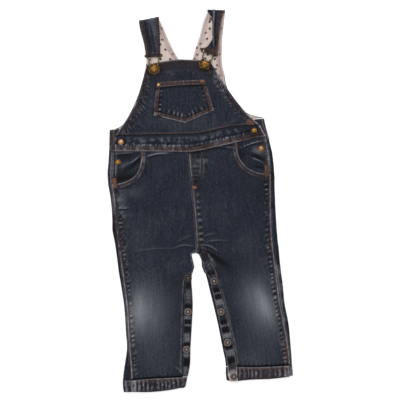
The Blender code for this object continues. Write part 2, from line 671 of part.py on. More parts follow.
def straps(garment):
    """Denim straps folded over at the shoulder, each with its printed facing inside the fold."""
    sets = (
        ("left", STRAP_LOWER_LEFT, STRAP_TOP_LEFT, STRAP_UPPER_LEFT, STRAP_BAR_LEFT),
        ("right", STRAP_LOWER_RIGHT, STRAP_TOP_RIGHT, STRAP_UPPER_RIGHT, STRAP_BAR_RIGHT),
    )
    facing_low = DENIM + GAP + COTTON / 2
    facing_high = facing_low + COTTON + GAP
    strap_level = facing_high + COTTON / 2 + GAP + DENIM / 2
    over_bar = BAR_LEVEL + WIRE / 2 + GAP + DENIM / 2
    for name, lower, top, upper, bar in sets:
        denim = strap_rows(lower, top, upper, DENIM / 2, strap_level)
        for forward in STRAP_END:
            left, right = ((x, y + forward, over_bar) for x, y in bar)
            denim.append((left, right, 0.0))
        garment.loft(f"strap_{name}", ribbon_rings(denim, DENIM))
        print_rows = strap_rows(lower, top, upper[:-1], facing_low, facing_high, STRAP_INSET)
        garment.loft(f"strap_facing_{name}", ribbon_rings(print_rows, COTTON), "print")


def hips(garment):
    """The pocket backings that show in the scoop pockets."""
    left = Table(SIDE_COLUMNS, SIDE_LEFT)
    right = Table(SIDE_COLUMNS, SIDE_RIGHT)
    shape = outline(between(BAND_BOTTOM, -128.5, HIP_LEFT[0][0]), smooth(HIP_LEFT),
                    left.line("seam", 14.5, 72.6))
    garment.panel("hip_left", shape, folds=HIP_FOLDS[:1], crown=HIP_CROWN, apart=GAP)
    shape = outline(between(BAND_BOTTOM, HIP_RIGHT[0][0], 99.0), right.line("seam", 91.0, 29.5),
                    smooth(HIP_RIGHT)[::-1])
    garment.panel("hip_right", shape, folds=HIP_FOLDS[1:], crown=HIP_CROWN, apart=GAP)


def front_panels(garment):
    """Left and right front, cut out at the scoop pockets."""
    centre = Table(CENTRE_COLUMNS, CENTRE).line("x", 72.5, -79.8)
    left_side, right_side = Table(SIDE_COLUMNS, SIDE_LEFT), Table(SIDE_COLUMNS, SIDE_RIGHT)
    left_inner, right_inner = Table(INNER_COLUMNS, INNER_LEFT), Table(INNER_COLUMNS, INNER_RIGHT)
    shape = outline(between(BAND_BOTTOM, -88.5, -17.5), centre, left_inner.line("front", -80.7, -109.5),
                    left_inner.line("placket", -110.5, -265.5), smooth(HEM_TOP_LEFT)[::-1],
                    left_side.line("seam", -270.0, 23.5), smooth(MOUTH_LEFT)[::-1])
    garment.panel("front_left", shape, folds=FRONT_FOLDS)
    shape = outline(between(BAND_BOTTOM, -17.5, 55.5), smooth(MOUTH_RIGHT),
                    right_side.line("seam", 38.0, -248.0), smooth(HEM_TOP_RIGHT)[::-1],
                    right_inner.line("placket", -250.0, -80.5), (CROTCH_FOLD, CROTCH_POINT), centre[::-1])
    garment.panel("front_right", shape, folds=FRONT_FOLDS)


def front_hems(garment):
    """The turned ends of the front legs."""
    shape = outline(smooth(HEM_TOP_LEFT), (HEM_INNER_LEFT,), smooth(HEM_BOTTOM_LEFT)[::-1])
    garment.panel("hem_front_left", shape, thickness=TURNED, crown=BAND_CROWN)
    shape = outline((HEM_INNER_RIGHT,), smooth(HEM_TOP_RIGHT), smooth(HEM_BOTTOM_RIGHT)[::-1])
    garment.panel("hem_front_right", shape, thickness=TURNED, crown=BAND_CROWN)


def front_plackets(garment):
    """The snap strips down the inner edges of the front legs; the right one laps over the hem."""
    left = Table(INNER_COLUMNS, INNER_LEFT)
    right = Table(INNER_COLUMNS, INNER_RIGHT)
    shape = outline(left.line("placket", PLACKET_TOP, PLACKET_BOTTOM_LEFT),
                    left.line("front", PLACKET_BOTTOM_LEFT, PLACKET_TOP))
    garment.panel("placket_front_left", shape, thickness=TURNED, crown=BAND_CROWN)
    shape = outline(right.line("placket", -80.5, -271.5), right.line("front", -271.5, -82.0), ((5.0, -73.0),))
    garment.panel("placket_front_right", shape, thickness=TURNED, crown=BAND_CROWN)


def waist_and_bib(garment):
    """The front waistband, the bib and the bib's pocket with its turned top."""
    shape = outline(smooth(BAND_TOP), smooth(BAND_BOTTOM)[::-1])
    garment.panel("front_waistband", shape, thickness=TURNED, crown=BAND_CROWN)
    shape = outline(smooth(BAND_TOP), smooth(BIB_RIGHT), smooth(BIB_TOP)[::-1], smooth(BIB_LEFT)[::-1])
    garment.panel("front_bib", shape, folds=BIB_FOLDS, crown=BIB_CROWN)
    left_point, right_point = (POCKET_LEFT[-1], POCKET_POINT), (POCKET_POINT, POCKET_RIGHT[-1])
    shape = outline(smooth(POCKET_TOP)[::-1], smooth(POCKET_LEFT), smooth(left_point), smooth(right_point),
                    smooth(POCKET_RIGHT)[::-1])
    garment.panel("bib_pocket", shape, crown=POCKET_CROWN)
    top = [(x, y - 0.4) for x, y in smooth(POCKET_TOP)]
    below = [(x, y - POCKET_HEM) for x, y in top]
    garment.panel("bib_pocket_hem", outline(top, below[::-1]), thickness=COTTON, crown=0.0, apart=GAP)


def buckle_path(button, loop_level):
    """Points down the middle of a buckle's wire, from bar to loop and back, and round again."""
    x, y, turn = button
    half = [(-across, along, rise) for across, along, rise in BUCKLE_HALF]
    _, end_along, full_rise = BUCKLE_HALF[-1]
    start = math.atan2(end_along, BUCKLE_HALF[-1][0])
    loop = []
    for angle in np.linspace(math.pi - start, 2 * math.pi + start, 17)[1:-1]:
        radius = BUCKLE_LOOP * (1.0 + BUCKLE_WAVE * math.cos(6.0 * angle))
        loop.append((radius * math.cos(angle), radius * math.sin(angle), full_rise))
    whole = [(0.0, BUCKLE_REACH, 0.0)] + half + loop + [(-u, v, rise) for u, v, rise in half[::-1]]
    c, s = math.cos(math.radians(turn)), math.sin(math.radians(turn))
    climb = (loop_level - BAR_LEVEL) / full_rise
    return [(x + u * c - v * s, y + u * s + v * c, BAR_LEVEL + rise * climb) for u, v, rise in whole]


def tube(path, radius, sides=6):
    """Points and faces of a closed ring of wire."""
    points, faces = [], []
    for k, here in enumerate(path):
        run = Vector(path[(k + 1) % len(path)]) - Vector(path[k - 1])
        across = run.cross(Vector((0.0, 0.0, 1.0))).normalized()
        up = across.cross(run).normalized()
        for step in range(sides):
            turn = 2 * math.pi * (step + 0.5) / sides
            points.append(Vector(here) + (across * math.cos(turn) + up * math.sin(turn)) * radius)
    for k in range(len(path)):
        row, after = k * sides, (k + 1) % len(path) * sides
        for step in range(sides):
            beside = (step + 1) % sides
            faces.append((row + step, row + beside, after + beside, after + step))
    return points, faces


def buckles(garment):
    """Wire buckles hooked on the buttons, their bars under the strap ends, and the dome buttons."""
    dome = DOME / 2
    for name, button in (("left", BUTTON_LEFT), ("right", BUTTON_RIGHT)):
        seat = garment.heap.highest(button[0], button[1], BUCKLE_LOOP + WIRE / 2 + 0.5)
        loop_level = seat + GAP + WIRE / 2 + BUCKLE_SLACK
        points, faces = tube(buckle_path(button, loop_level), WIRE / 2)
        lift = loop_level + WIRE / 2 - seat
        profile = ((0.0, 0.0), (SHANK_FOOT, 0.0), (SHANK_FOOT, 0.5), (SHANK, 0.8), (SHANK, lift), (dome, lift),
                   (dome, lift + 0.7), (dome * 0.86, lift + 1.6), (dome * 0.5, lift + 2.3), (0.0, lift + 2.6))
        garment.turned(f"bib_button_{name}", button[:2], profile, "brass", sides=20, seat=seat)
        garment.add(f"buckle_{name}", points, faces, "bronze", smooth_faces=True)


def snaps(garment):
    """Side snaps with domed caps, ring sockets on the inner legs, and the pocket's rivet."""
    cap = SNAP / 2
    cap_profile = ((0.0, 0.0), (cap * 0.8, 0.0), (cap, 0.4), (cap, 1.0), (cap * 0.8, 1.7), (cap * 0.35, 2.1),
                   (0.0, 2.1))
    ring = SOCKET / 2
    ring_profile = ((0.0, 0.0), (ring, 0.0), (ring, 0.7), (ring * 0.8, 1.2), (ring * 0.5, 1.2),
                    (ring * 0.42, 0.7), (0.0, 0.7))
    for k, place in enumerate(SIDE_SNAPS, 1):
        garment.turned(f"side_snap_{k}", place, cap_profile, "brass", sides=14)
    for name, places in (("left", LEG_SNAPS_LEFT), ("right", LEG_SNAPS_RIGHT)):
        for k, place in enumerate(places, 1):
            garment.turned(f"leg_snap_{name}_{k}", place, ring_profile, "bronze", sides=14)
    rivet = RIVET / 2
    rivet_profile = ((0.0, 0.0), (rivet, 0.0), (rivet, 0.5), (rivet * 0.6, 1.0), (0.0, 1.1))
    garment.turned("pocket_rivet", RIVET_PLACE, rivet_profile, "brass", sides=12)


def main():
    """Make every piece, from the floor up."""
    for thing in list(bpy.data.objects):
        bpy.data.objects.remove(thing, do_unlink=True)
    garment = Garment()
    back_panels(garment)
    back_plackets(garment)
    back_hems(garment)
    back_waistband(garment)
    back_bodice(garment)
    straps(garment)
    hips(garment)
    front_panels(garment)
    front_hems(garment)
    front_plackets(garment)
    waist_and_bib(garment)
    buckles(garment)
    snaps(garment)


main()
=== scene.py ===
"""Baby dungarees in dark denim, laid flat and face up: the finish of every piece.

The frame's solids give every outline, edge and place. Each cloth piece is laid again as a thin shell
on a fine grid, over the pieces under it, with its seams, puckers, creases and wear, and with painted
shade and painted highlights in its colour. The metal pieces are modelled by hand at their solids'
places. Work is in millimetres and left means -X.
"""
import logging
import math
from dataclasses import dataclass
from enum import Enum
from typing import Any

import bmesh
import bpy
import numpy as np
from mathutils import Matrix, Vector
from mathutils.geometry import delaunay_2d_cdt


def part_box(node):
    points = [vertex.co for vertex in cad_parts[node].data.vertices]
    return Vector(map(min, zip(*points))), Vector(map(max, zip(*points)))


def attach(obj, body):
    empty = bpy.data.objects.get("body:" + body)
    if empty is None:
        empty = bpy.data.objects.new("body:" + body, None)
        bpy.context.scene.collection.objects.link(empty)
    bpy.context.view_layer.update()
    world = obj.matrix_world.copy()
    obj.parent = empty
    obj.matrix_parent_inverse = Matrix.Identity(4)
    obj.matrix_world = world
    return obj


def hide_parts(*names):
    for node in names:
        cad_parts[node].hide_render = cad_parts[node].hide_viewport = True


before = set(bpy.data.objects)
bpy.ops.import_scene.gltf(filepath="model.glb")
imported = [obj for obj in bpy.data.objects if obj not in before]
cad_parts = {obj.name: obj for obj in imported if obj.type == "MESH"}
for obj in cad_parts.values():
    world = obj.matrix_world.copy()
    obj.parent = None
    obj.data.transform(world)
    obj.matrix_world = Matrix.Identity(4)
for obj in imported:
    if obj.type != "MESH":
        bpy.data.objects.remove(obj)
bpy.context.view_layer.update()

LOG = logging.getLogger("dungarees")

MM = 0.001
BODY = "root"
DENIM = 1.2             # one layer of denim
COTTON = 1.0            # one layer of printed cotton
TURNED = 2.0            # denim turned on itself
SEAM_GAP = 0.3          # between pieces that lie on each other
CELL = 0.75             # grid on which levels, creases and wear are worked out
FINE = 1.3              # spacing of a panel's upper points
COARSE = 4.5            # spacing of a panel's lower points
RIM = 0.45              # how far a cloth edge rounds over
CORNER = 28.0           # degrees; an outline that turns more has a corner there
MARGIN = 3.0            # grid kept all round a panel
REACH = 16.0            # how far in from a panel's edge distances are worked out
LINE_VALUES = 499       # random values before a line's unevenness repeats
PLANE_VALUES = 211      # the same for each row over the plane
FLOOR = (150.0, 300.0)  # how far the grid reaches from the middle, across and along
FLOOR_CLEAR = 0.02      # least height of an outer face over the floor
DRAPE_PASSES = 7        # times that a drape is softened and lifted off what it lies on
DRAPE_SOFT = 1.1        # how far each of them spreads a step
DRAPE_LAST = 0.9        # the same for the last softening
UNDER_SOFT = 2.0        # the same for a panel's underside
CROWN_RISE = 6.0        # how far from a panel's edge its crown has mostly risen
CUT_TURN = 1.5          # degrees between the ways in which a cut's rectangle is tried
MERGE = 1e-5            # how near two points of a filled ring become one
TINY = 1e-9             # keeps a division by no length from failing

Array = np.ndarray
Piece = bpy.types.Object
Socket = bpy.types.NodeSocket
Way = tuple[float, float]
Place = tuple[float, float, float]
Edge = tuple[Way, Way]
Faces = list[tuple[int, ...]]
Rows = tuple[tuple[float, ...], ...]


def wander(at: Array, pitch: float, seed: int) -> Array:
    """Smooth random values from -1 to 1 along a line.

    Args:
        at: Places along the line.
        pitch: Distance between two independent values.
        seed: Picks the values.

    Returns:
        One value for each place.
    """
    values = np.random.default_rng(seed).uniform(-1.0, 1.0, LINE_VALUES)
    place = np.asarray(at, float) / pitch + 1000.0
    before = np.floor(place).astype(int)
    share = place - before
    share = share * share * (3.0 - 2.0 * share)
    return values[before % LINE_VALUES] * (1.0 - share) + values[(before + 1) % LINE_VALUES] * share


def cloud(x: Array, y: Array, size: float, seed: int) -> Array:
    """Smooth random values from -1 to 1 over the plane.

    Args:
        x: Places across.
        y: Places along.
        size: Distance between two independent values.
        seed: Picks the values.

    Returns:
        One value for each place.
    """
    values = np.random.default_rng(seed).uniform(-1.0, 1.0, (PLANE_VALUES, PLANE_VALUES))
    across, along = np.asarray(x, float) / size + 1000.0, np.asarray(y, float) / size + 1000.0
    column, row = np.floor(across).astype(int), np.floor(along).astype(int)
    u, v = across - column, along - row
    u, v = u * u * (3.0 - 2.0 * u), v * v * (3.0 - 2.0 * v)
    column, row = column % PLANE_VALUES, row % PLANE_VALUES
    after, above = (column + 1) % PLANE_VALUES, (row + 1) % PLANE_VALUES
    low = values[row, column] * (1.0 - u) + values[row, after] * u
    high = values[above, column] * (1.0 - u) + values[above, after] * u
    return low * (1.0 - v) + high * v


def swell(distance: Array, middle: float, half: float) -> Array:
    """A soft hump from 0 to 1 round a middle distance, half as wide as the given half width."""
    return np.exp(-(((distance - middle) / half) ** 2))


def ease(value: Array, low: float, high: float) -> Array:
    """A smooth step from 0 at low to 1 at high."""
    share = np.clip((np.asarray(value, float) - low) / (high - low), 0.0, 1.0)
    return share * share * (3.0 - 2.0 * share)


def run_along(points: Array) -> Array:
    """How far along a line each of its points is."""
    return np.concatenate([[0.0], np.cumsum(np.linalg.norm(np.diff(points, axis=0), axis=1))])


def through(points: Array, spacing: float) -> Array:
    """Points about a spacing apart on a smooth curve through the given ones.

    Args:
        points: Two or more points, in any number of dimensions.
        spacing: Distance between the new points.

    Returns:
        The new points, with the first and last of the given ones at the ends.
    """
    given = np.asarray(points, float)
    curve = given
    if len(given) > 2:
        padded = np.vstack([2 * given[0] - given[1], given, 2 * given[-1] - given[-2]])
        runs = []
        for a, b, c, d in zip(padded, padded[1:], padded[2:], padded[3:]):
            t = np.linspace(0.0, 1.0, 13)[:-1, None]
            bend = (2 * a - 5 * b + 4 * c - d) * t * t + (3 * b - 3 * c + d - a) * t**3
            runs.append(0.5 * (2 * b + (c - a) * t + bend))
        curve = np.vstack([*runs, given[-1:]])
    run = run_along(curve)
    at = np.linspace(0.0, run[-1], max(1, round(run[-1] / spacing)) + 1)
    return np.column_stack([np.interp(at, run, curve[:, k]) for k in range(curve.shape[1])])


@dataclass
class Line:
    """A run of points on the cloth, such as a seam."""

    points: Array

    def __post_init__(self) -> None:
        """Measure the run up to each point."""
        self.points = np.asarray(self.points, float)
        self.run = run_along(self.points)

    @property
    def length(self) -> float:
        """The line's whole length."""
        return float(self.run[-1])

    def at(self, along: Array) -> Array:
        """The points at the given runs."""
        return np.column_stack([np.interp(along, self.run, self.points[:, k]) for k in (0, 1)])

    def part(self, start: float, stop: float) -> "Line":
        """The part between two shares of the length."""
        count = max(2, round(abs(stop - start) * self.length / 2.5))
        return Line(self.at(np.linspace(start, stop, count + 1) * self.length))

    def moved(self, distance: float) -> "Line":
        """The line moved to its left by a distance.

        Args:
            distance: How far.

        Returns:
            The moved line.
        """
        run = np.gradient(self.points, axis=0)
        run /= np.maximum(np.linalg.norm(run, axis=1), TINY)[:, None]
        return Line(self.points + np.column_stack([-run[:, 1], run[:, 0]]) * distance)

    def near(self, x: Array, y: Array, reach: float = 30.0) -> tuple[Array, Array]:
        """How far places lie from the line, and where along it.

        Args:
            x: Places across.
            y: Places along.
            reach: Farther places count as far away.

        Returns:
            The distances, and the runs of the nearest points.
        """
        distance = np.full(x.shape, 1e3)
        along = np.zeros(x.shape)
        for k in range(len(self.points) - 1):
            a, b = self.points[k], self.points[k + 1]
            low, high = np.minimum(a, b) - reach, np.maximum(a, b) + reach
            hit = np.nonzero((x > low[0]) & (x < high[0]) & (y > low[1]) & (y < high[1]))
            side = b - a
            dx, dy = x[hit] - a[0], y[hit] - a[1]
            t = np.clip((dx * side[0] + dy * side[1]) / max(side @ side, TINY), 0.0, 1.0)
            away = np.hypot(dx - t * side[0], dy - t * side[1])
            nearer = away < distance[hit]
            place = tuple(index[nearer] for index in hit)
            distance[place] = away[nearer]
            along[place] = self.run[k] + t[nearer] * math.sqrt(side @ side)
        return distance, along


def node_mesh(name: str) -> tuple[Array, Array]:
    """A solid's points and triangles, without doubled points.

    Args:
        name: The solid's node.

    Returns:
        Points in millimetres, and rows of three indices.
    """
    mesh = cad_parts[name].data
    mesh.calc_loop_triangles()
    points = np.zeros(len(mesh.vertices) * 3, np.float32)
    mesh.vertices.foreach_get("co", points)
    corners = np.zeros(len(mesh.loop_triangles) * 3, np.int32)
    mesh.loop_triangles.foreach_get("vertices", corners)
    rounded = np.round(points.reshape(-1, 3).astype(float) / MM, 3)
    merged, where = np.unique(rounded, axis=0, return_inverse=True)
    return merged, where.reshape(-1)[corners].reshape(-1, 3)


def middle_of(name: str) -> Way:
    """Where a solid's middle is, seen from above."""
    low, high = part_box(name)
    return (low.x + high.x) / 2 / MM, (low.y + high.y) / 2 / MM


def keep(mesh: bpy.types.Mesh, title: str, values: Array) -> None:
    """Keep a number at each point of a mesh."""
    mesh.attributes.new(title, "FLOAT", "POINT").data.foreach_set("value", np.asarray(values, np.float32))


def placed(name: str, mesh: bpy.types.Mesh) -> Piece:
    """Put a smooth mesh in the scene as an object.

    Args:
        name: The object's name.
        mesh: Its mesh.

    Returns:
        The object.
    """
    mesh.shade_smooth()
    made = bpy.data.objects.new(name, mesh)
    bpy.context.scene.collection.objects.link(made)
    return made


def facing(points: Array, triangles: Array) -> Array:
    """The unit normals of triangles.

    Args:
        points: The corners.
        triangles: Each triangle by the numbers of its corners.

    Returns:
        A normal for each triangle.
    """
    a, b, c = (points[triangles[:, k]] for k in range(3))
    normal = np.cross(b - a, c - a)
    return normal / np.maximum(np.linalg.norm(normal, axis=1), TINY)[:, None]


def is_inside(x: Array, y: Array, corners: Array) -> Array:
    """Which places lie inside a closed outline.

    Args:
        x: The places' x.
        y: The places' y.
        corners: The outline's corners.

    Returns:
        True for each place inside.
    """
    inside = np.zeros(x.shape, bool)
    for (ax, ay), (bx, by) in zip(corners, np.roll(corners, -1, axis=0)):
        if ay != by:
            crosses = (ay > y) != (by > y)
            inside ^= crosses & (x < (bx - ax) * (y - ay) / (by - ay) + ax)
    return inside


class Outline:
    """The edge of a flat piece, anticlockwise, smooth between its corners."""

    def __init__(self, node: str, rise: float = 0.0) -> None:
        """Read the edge of a solid's upper face.

        Args:
            node: The solid's node.
            rise: How far its top's right end is raised to a slanted seam; below 0, the left end.
        """
        points, triangles = node_mesh(node)
        upper = triangles[facing(points, triangles)[:, 2] > 0.35]
        sides = {(int(a), int(b)) for face in upper for a, b in zip(face, np.roll(face, -1))}
        after = {a: b for a, b in sides if (b, a) not in sides}
        start = min(after)
        loop = [start]
        while after[loop[-1]] != start:
            loop.append(after[loop[-1]])
        ring = points[loop][:, :2]
        if rise:
            top = ring[:, 1] > ring[:, 1].max() - 0.01
            share = (ring[top, 0] - ring[top, 0].min()) / np.ptp(ring[top, 0])
            ring[top, 1] += abs(rise) * (share if rise > 0.0 else 1.0 - share)
        before, following = ring - np.roll(ring, 1, axis=0), np.roll(ring, -1, axis=0) - ring
        turn = np.arctan2(before[:, 0] * following[:, 1] - before[:, 1] * following[:, 0],
                          (before * following).sum(axis=1))
        corners = np.nonzero(np.abs(np.degrees(turn)) > CORNER)[0]
        ring = np.roll(ring, -corners[0], axis=0)
        marks = list(corners - corners[0]) + [len(ring)]
        ring = np.vstack([ring, ring[:1]])
        self.sides = [through(ring[a:b + 1], FINE) for a, b in zip(marks, marks[1:])]
        self.corners = np.array([side[0] for side in self.sides])
        self.points = np.vstack([side[:-1] for side in self.sides])

    def corner(self, way: Way) -> int:
        """The number of the corner that lies farthest in a direction."""
        return int(np.argmax(self.corners @ np.array(way)))

    def edge(self, start: Way, stop: Way) -> Line:
        """The edge from one corner anticlockwise to another, each named by its direction.

        Args:
            start: The first corner's direction.
            stop: The last corner's direction.

        Returns:
            The edge between them.
        """
        first, last = self.corner(start), self.corner(stop)
        count = (last - first) % len(self.sides) or len(self.sides)
        runs = [self.sides[(first + k) % len(self.sides)] for k in range(count)]
        return Line(np.vstack([*(run[:-1] for run in runs), runs[-1][-1:]]))


def spread(field_: Array, kernel: Array, axis: int) -> Array:
    """A field blurred along one axis by a kernel with an odd number of shares.

    Args:
        field_: The field.
        kernel: The kernel's shares.
        axis: 0 or 1.

    Returns:
        The blurred field.
    """
    reach = len(kernel) // 2
    width = [(reach, reach) if k == axis else (0, 0) for k in (0, 1)]
    padded = np.pad(field_, width)
    size = field_.shape[axis]
    parts = (share * np.take(padded, range(k, k + size), axis=axis) for k, share in enumerate(kernel))
    return sum(parts)


def soften(field_: Array, mask: Array, size: float) -> Array:
    """Blur a field over the cells of a mask alone.

    Args:
        field_: Values on the grid.
        mask: The cells that count.
        size: How far the blur reaches, in millimetres.

    Returns:
        The blurred values, also just outside the mask.
    """
    reach = math.ceil(2.5 * size / CELL)
    kernel = np.exp(-0.5 * (np.arange(-reach, reach + 1) * CELL / size) ** 2)
    weight = mask.astype(float)
    value = np.where(mask, field_, 0.0)
    for axis in (0, 1):
        value, weight = spread(value, kernel, axis), spread(weight, kernel, axis)
    return value / np.maximum(weight, TINY)


class Heap:
    """The height of what lies on the floor so far, on a fine grid."""

    def __init__(self) -> None:
        """Start with the bare floor."""
        self.x, self.y = (np.arange(-half, half, CELL) for half in FLOOR)
        self.top = np.zeros((len(self.y), len(self.x)))

    def read(self, field_: Array, x: Array, y: Array, first: tuple[int, int] = (0, 0)) -> Array:
        """Values of a field on the grid at any places.

        Args:
            field_: Values on the grid, or on a part of it.
            x: Places across.
            y: Places along.
            first: The row and column of the grid where the field starts.

        Returns:
            The values, evenly between the cells.
        """
        column = np.clip((x - self.x[first[1]]) / CELL, 0.0, field_.shape[1] - 1.001)
        row = np.clip((y - self.y[first[0]]) / CELL, 0.0, field_.shape[0] - 1.001)
        c, r = column.astype(int), row.astype(int)
        u, v = column - c, row - r
        low = field_[r, c] * (1 - u) + field_[r, c + 1] * u
        high = field_[r + 1, c] * (1 - u) + field_[r + 1, c + 1] * u
        return low * (1 - v) + high * v

    def level(self, x: Array, y: Array) -> Array:
        """How high the heap is at the given places."""
        return self.read(self.top, np.asarray(x, float), np.asarray(y, float))

    def lay(self, grid: Array) -> None:
        """Raise the heap to a surface of rows and columns of points.

        Args:
            grid: The surface's points.
        """
        widest = max(np.linalg.norm(np.diff(grid[..., :2], axis=k), axis=2).max() for k in (0, 1))
        steps = math.ceil(widest / CELL)
        shares = np.linspace(0.0, 1.0, steps + 2)
        for u in shares:
            across = grid[:, :-1] * (1 - u) + grid[:, 1:] * u
            for v in shares:
                points = (across[:-1] * (1 - v) + across[1:] * v).reshape(-1, 3)
                cells = np.round((points[:, :2] - (self.x[0], self.y[0])) / CELL).astype(int)
                column, row = np.clip(cells, 0, (len(self.x) - 1, len(self.y) - 1)).T
                np.maximum.at(self.top, (row, column), points[:, 2])


HEAP = Heap()


class Marks:
    """What the cloth shows at its places: relief, wear, painted highlight and shade, fading, old thread's
    tint.
    """

    def __init__(self, x: Array, y: Array) -> None:
        """Start plain.

        Args:
            x: Places across the cloth.
            y: Places along the cloth.
        """
        self.x, self.y = x, y
        self.height = np.zeros(x.shape)
        self.tone = np.zeros(x.shape)
        self.fade = np.zeros(x.shape)
        self.rust = np.zeros(x.shape)

    def stripe(self, line: Line, middle: float, half: float, height: float = 0.0, tone: float = 0.0,
               rust: float = 0.0, broken: float = 0.35, seed: int = 1) -> None:
        """A ridge, groove, worn line, painted highlight or painted shadow that follows another line.

        Args:
            line: The line it follows.
            middle: Its distance from the line.
            half: Half its width.
            height: How far it stands up.
            tone: How much lighter it is, worn or a painted highlight; below 0, how much darker, as painted
                shade.
            rust: How much thread tint it has.
            broken: How uneven it is, from 0 to 1.
            seed: Picks the unevenness.
        """
        distance, along = line.near(self.x, self.y, middle + 3.0 * half)
        uneven = 1.0 + broken * (wander(along, 4.0, seed) + 0.6 * wander(along, 13.0, seed + 7))
        hump = swell(distance, middle, half)
        self.height += height * hump
        self.tone += tone * hump * uneven
        self.rust += rust * hump * uneven

    def band(self, line: Line, inner: float, outer: float, height: float = 0.0, tone: float = 0.0,
             rust: float = 0.0, soft: float = 0.7) -> None:
        """A strip of even height and colour along a line.

        Args:
            line: The line it follows.
            inner: The distance where it starts.
            outer: The distance where it ends.
            height: How far it stands up.
            tone: How much lighter it is; below 0, how much darker, with painted shade and unfaded cloth.
            rust: How much thread tint it has.
            soft: How far its sides slope.
        """
        distance, along = line.near(self.x, self.y, outer + 2.0 * soft)
        beyond = ease(distance, outer - soft, outer + soft)
        strip = ease(distance, inner - soft, inner + soft) * (1.0 - beyond)
        uneven = 1.0 + 0.3 * wander(along, 6.0, 5)
        self.height += height * strip
        self.tone += tone * strip * uneven
        self.rust += rust * strip * uneven

    def pucker(self, line: Line, middle: float, half: float, pitch: float, height: float, tone: float,
               seed: int, lean: float = 0.0) -> None:
        """Short folds across a stitched line, uneven in pitch and depth.

        Args:
            line: The line they cross.
            middle: Their distance from the line.
            half: Half their length.
            pitch: The mean distance between them.
            height: How far they stand up.
            tone: How much lighter their crests are, with wear and painted highlight, and how much darker
                their hollows, with painted shade.
            seed: Picks the unevenness.
            lean: How far they lean along the line for each millimetre away from it.
        """
        distance, along = line.near(self.x, self.y, middle + 3.0 * half)
        place = along + lean * distance
        place = place + 0.33 * pitch * wander(place, 2.2 * pitch, seed)
        wave = np.cos(2.0 * math.pi * place / pitch)
        strength = np.clip(0.62 + 0.55 * wander(along, 1.7 * pitch, seed + 3), 0.1, 1.2)
        length = half * (1.0 + 0.3 * wander(along, 1.3 * pitch, seed + 5))
        window = np.exp(-(((distance - middle) / length) ** 2)) * strength
        fray = cloud(self.x, self.y, 2.3, seed + 9)
        self.height += height * wave * window
        # crests worn and painted lighter as highlight, hollows painted darker as shade
        self.tone += tone * (np.where(wave > 0.0, 0.75 * wave, 1.25 * wave) + 0.7 * fray) * window

    def grit(self, line: Line, middle: float, half: float, tone: float, seed: int) -> None:
        """Rubbed specks beside a line.

        Args:
            line: The line they follow.
            middle: Their mean distance from it.
            half: Half the width of their strip.
            tone: How much lighter or darker they are.
            seed: Picks them.
        """
        distance, _ = line.near(self.x, self.y, middle + 3.0 * half)
        specks = cloud(self.x, self.y, 2.6, seed) + 0.6 * cloud(self.x, self.y, 5.0, seed + 1)
        self.tone += tone * specks * swell(distance, middle, half)

    def creases(self, rows: Rows) -> None:
        """Creases by rows of start x and y, stop x and y, half width, height, tone and bow."""
        for row in rows:
            self.crease(row[:2], row[2:4], *row[4:])

    def patches(self, rows: Rows) -> None:
        """Patches by rows of centre x and y, half width and length, turn, tone, fade and height."""
        for row in rows:
            self.patch(row[:2], row[2:4], *row[4:])

    def crease(self, start: Way, stop: Way, half: float, height: float, tone: float = 0.0,
               bow: float = 0.0) -> None:
        """A soft ridge, or a trough where its height is below zero, that dies out at both ends.

        Args:
            start: Where it starts.
            stop: Where it stops.
            half: Half its width.
            height: How far it stands up.
            tone: How much lighter its crest is, as a painted highlight, and below 0 how much darker, as
                painted shade in the trough; its lower side is as much darker, a painted shadow.
            bow: How far its middle lies to the left of its ends.
        """
        a, b = np.array(start), np.array(stop)
        side = np.array([a[1] - b[1], b[0] - a[0]]) / max(math.dist(start, stop), TINY)
        line = Line(through(np.array([a, (a + b) / 2 + side * bow, b]), 3.0))
        distance, along = line.near(self.x, self.y, 3.0 * half)
        fading = np.sin(math.pi * np.clip(along / line.length, 0.02, 0.98)) ** 0.6
        hump = swell(distance, 0.0, half) * fading
        self.height += height * hump
        self.tone += tone * hump
        # a painted shadow along the crease's lower side; under a trough it is a little lighter
        below = Line(line.points - (0.0, 1.5 * half))
        distance, _ = below.near(self.x, self.y, 3.0 * half)
        self.tone -= (1.3 if tone > 0.0 else 0.25) * tone * swell(distance, 0.0, 0.9 * half) * fading

    def patch(self, centre: Way, size: Way, turn: float, tone: float = 0.0, fade: float = 0.0,
              height: float = 0.0) -> None:
        """A soft oval of fading, wear, painted shade or height.

        Args:
            centre: Its middle.
            size: Half its width and half its length.
            turn: Degrees that it is turned anticlockwise.
            tone: How much lighter it is; below 0, how much darker, as painted shade.
            fade: How much it is faded.
            height: How far it stands up.
        """
        c, s = math.cos(math.radians(turn)), math.sin(math.radians(turn))
        dx, dy = self.x - centre[0], self.y - centre[1]
        u, v = (dx * c + dy * s) / size[0], (dy * c - dx * s) / size[1]
        oval = np.exp(-(u * u + v * v))
        self.fade += fade * oval
        self.tone += tone * oval
        self.height += height * oval

    def lumps(self, height: float, tone: float, seed: int) -> None:
        """The slight unevenness of cloth that has been washed and laid out.

        Args:
            height: How high the lumps stand.
            tone: How far they lighten and darken the cloth.
            seed: Of their pattern.
        """
        slow = cloud(self.x, self.y, 34.0, seed) + 0.6 * cloud(self.x, self.y, 15.0, seed + 1)
        quick = cloud(self.x * 1.6, self.y, 5.5, seed + 2)
        self.height += height * (slow + 0.25 * quick)
        self.tone += tone * (0.25 * slow + 0.25 * quick)


def drawn_in(ring: Array, distance: float) -> Array:
    """A closed anticlockwise ring moved inwards by a distance, or outwards below zero.

    Args:
        ring: The ring's points.
        distance: How far.

    Returns:
        The moved points.
    """
    before, after = ring - np.roll(ring, 1, axis=0), np.roll(ring, -1, axis=0) - ring
    run = before / np.linalg.norm(before, axis=1)[:, None] + after / np.linalg.norm(after, axis=1)[:, None]
    run /= np.maximum(np.linalg.norm(run, axis=1), TINY)[:, None]
    return ring + np.column_stack([-run[:, 1], run[:, 0]]) * distance


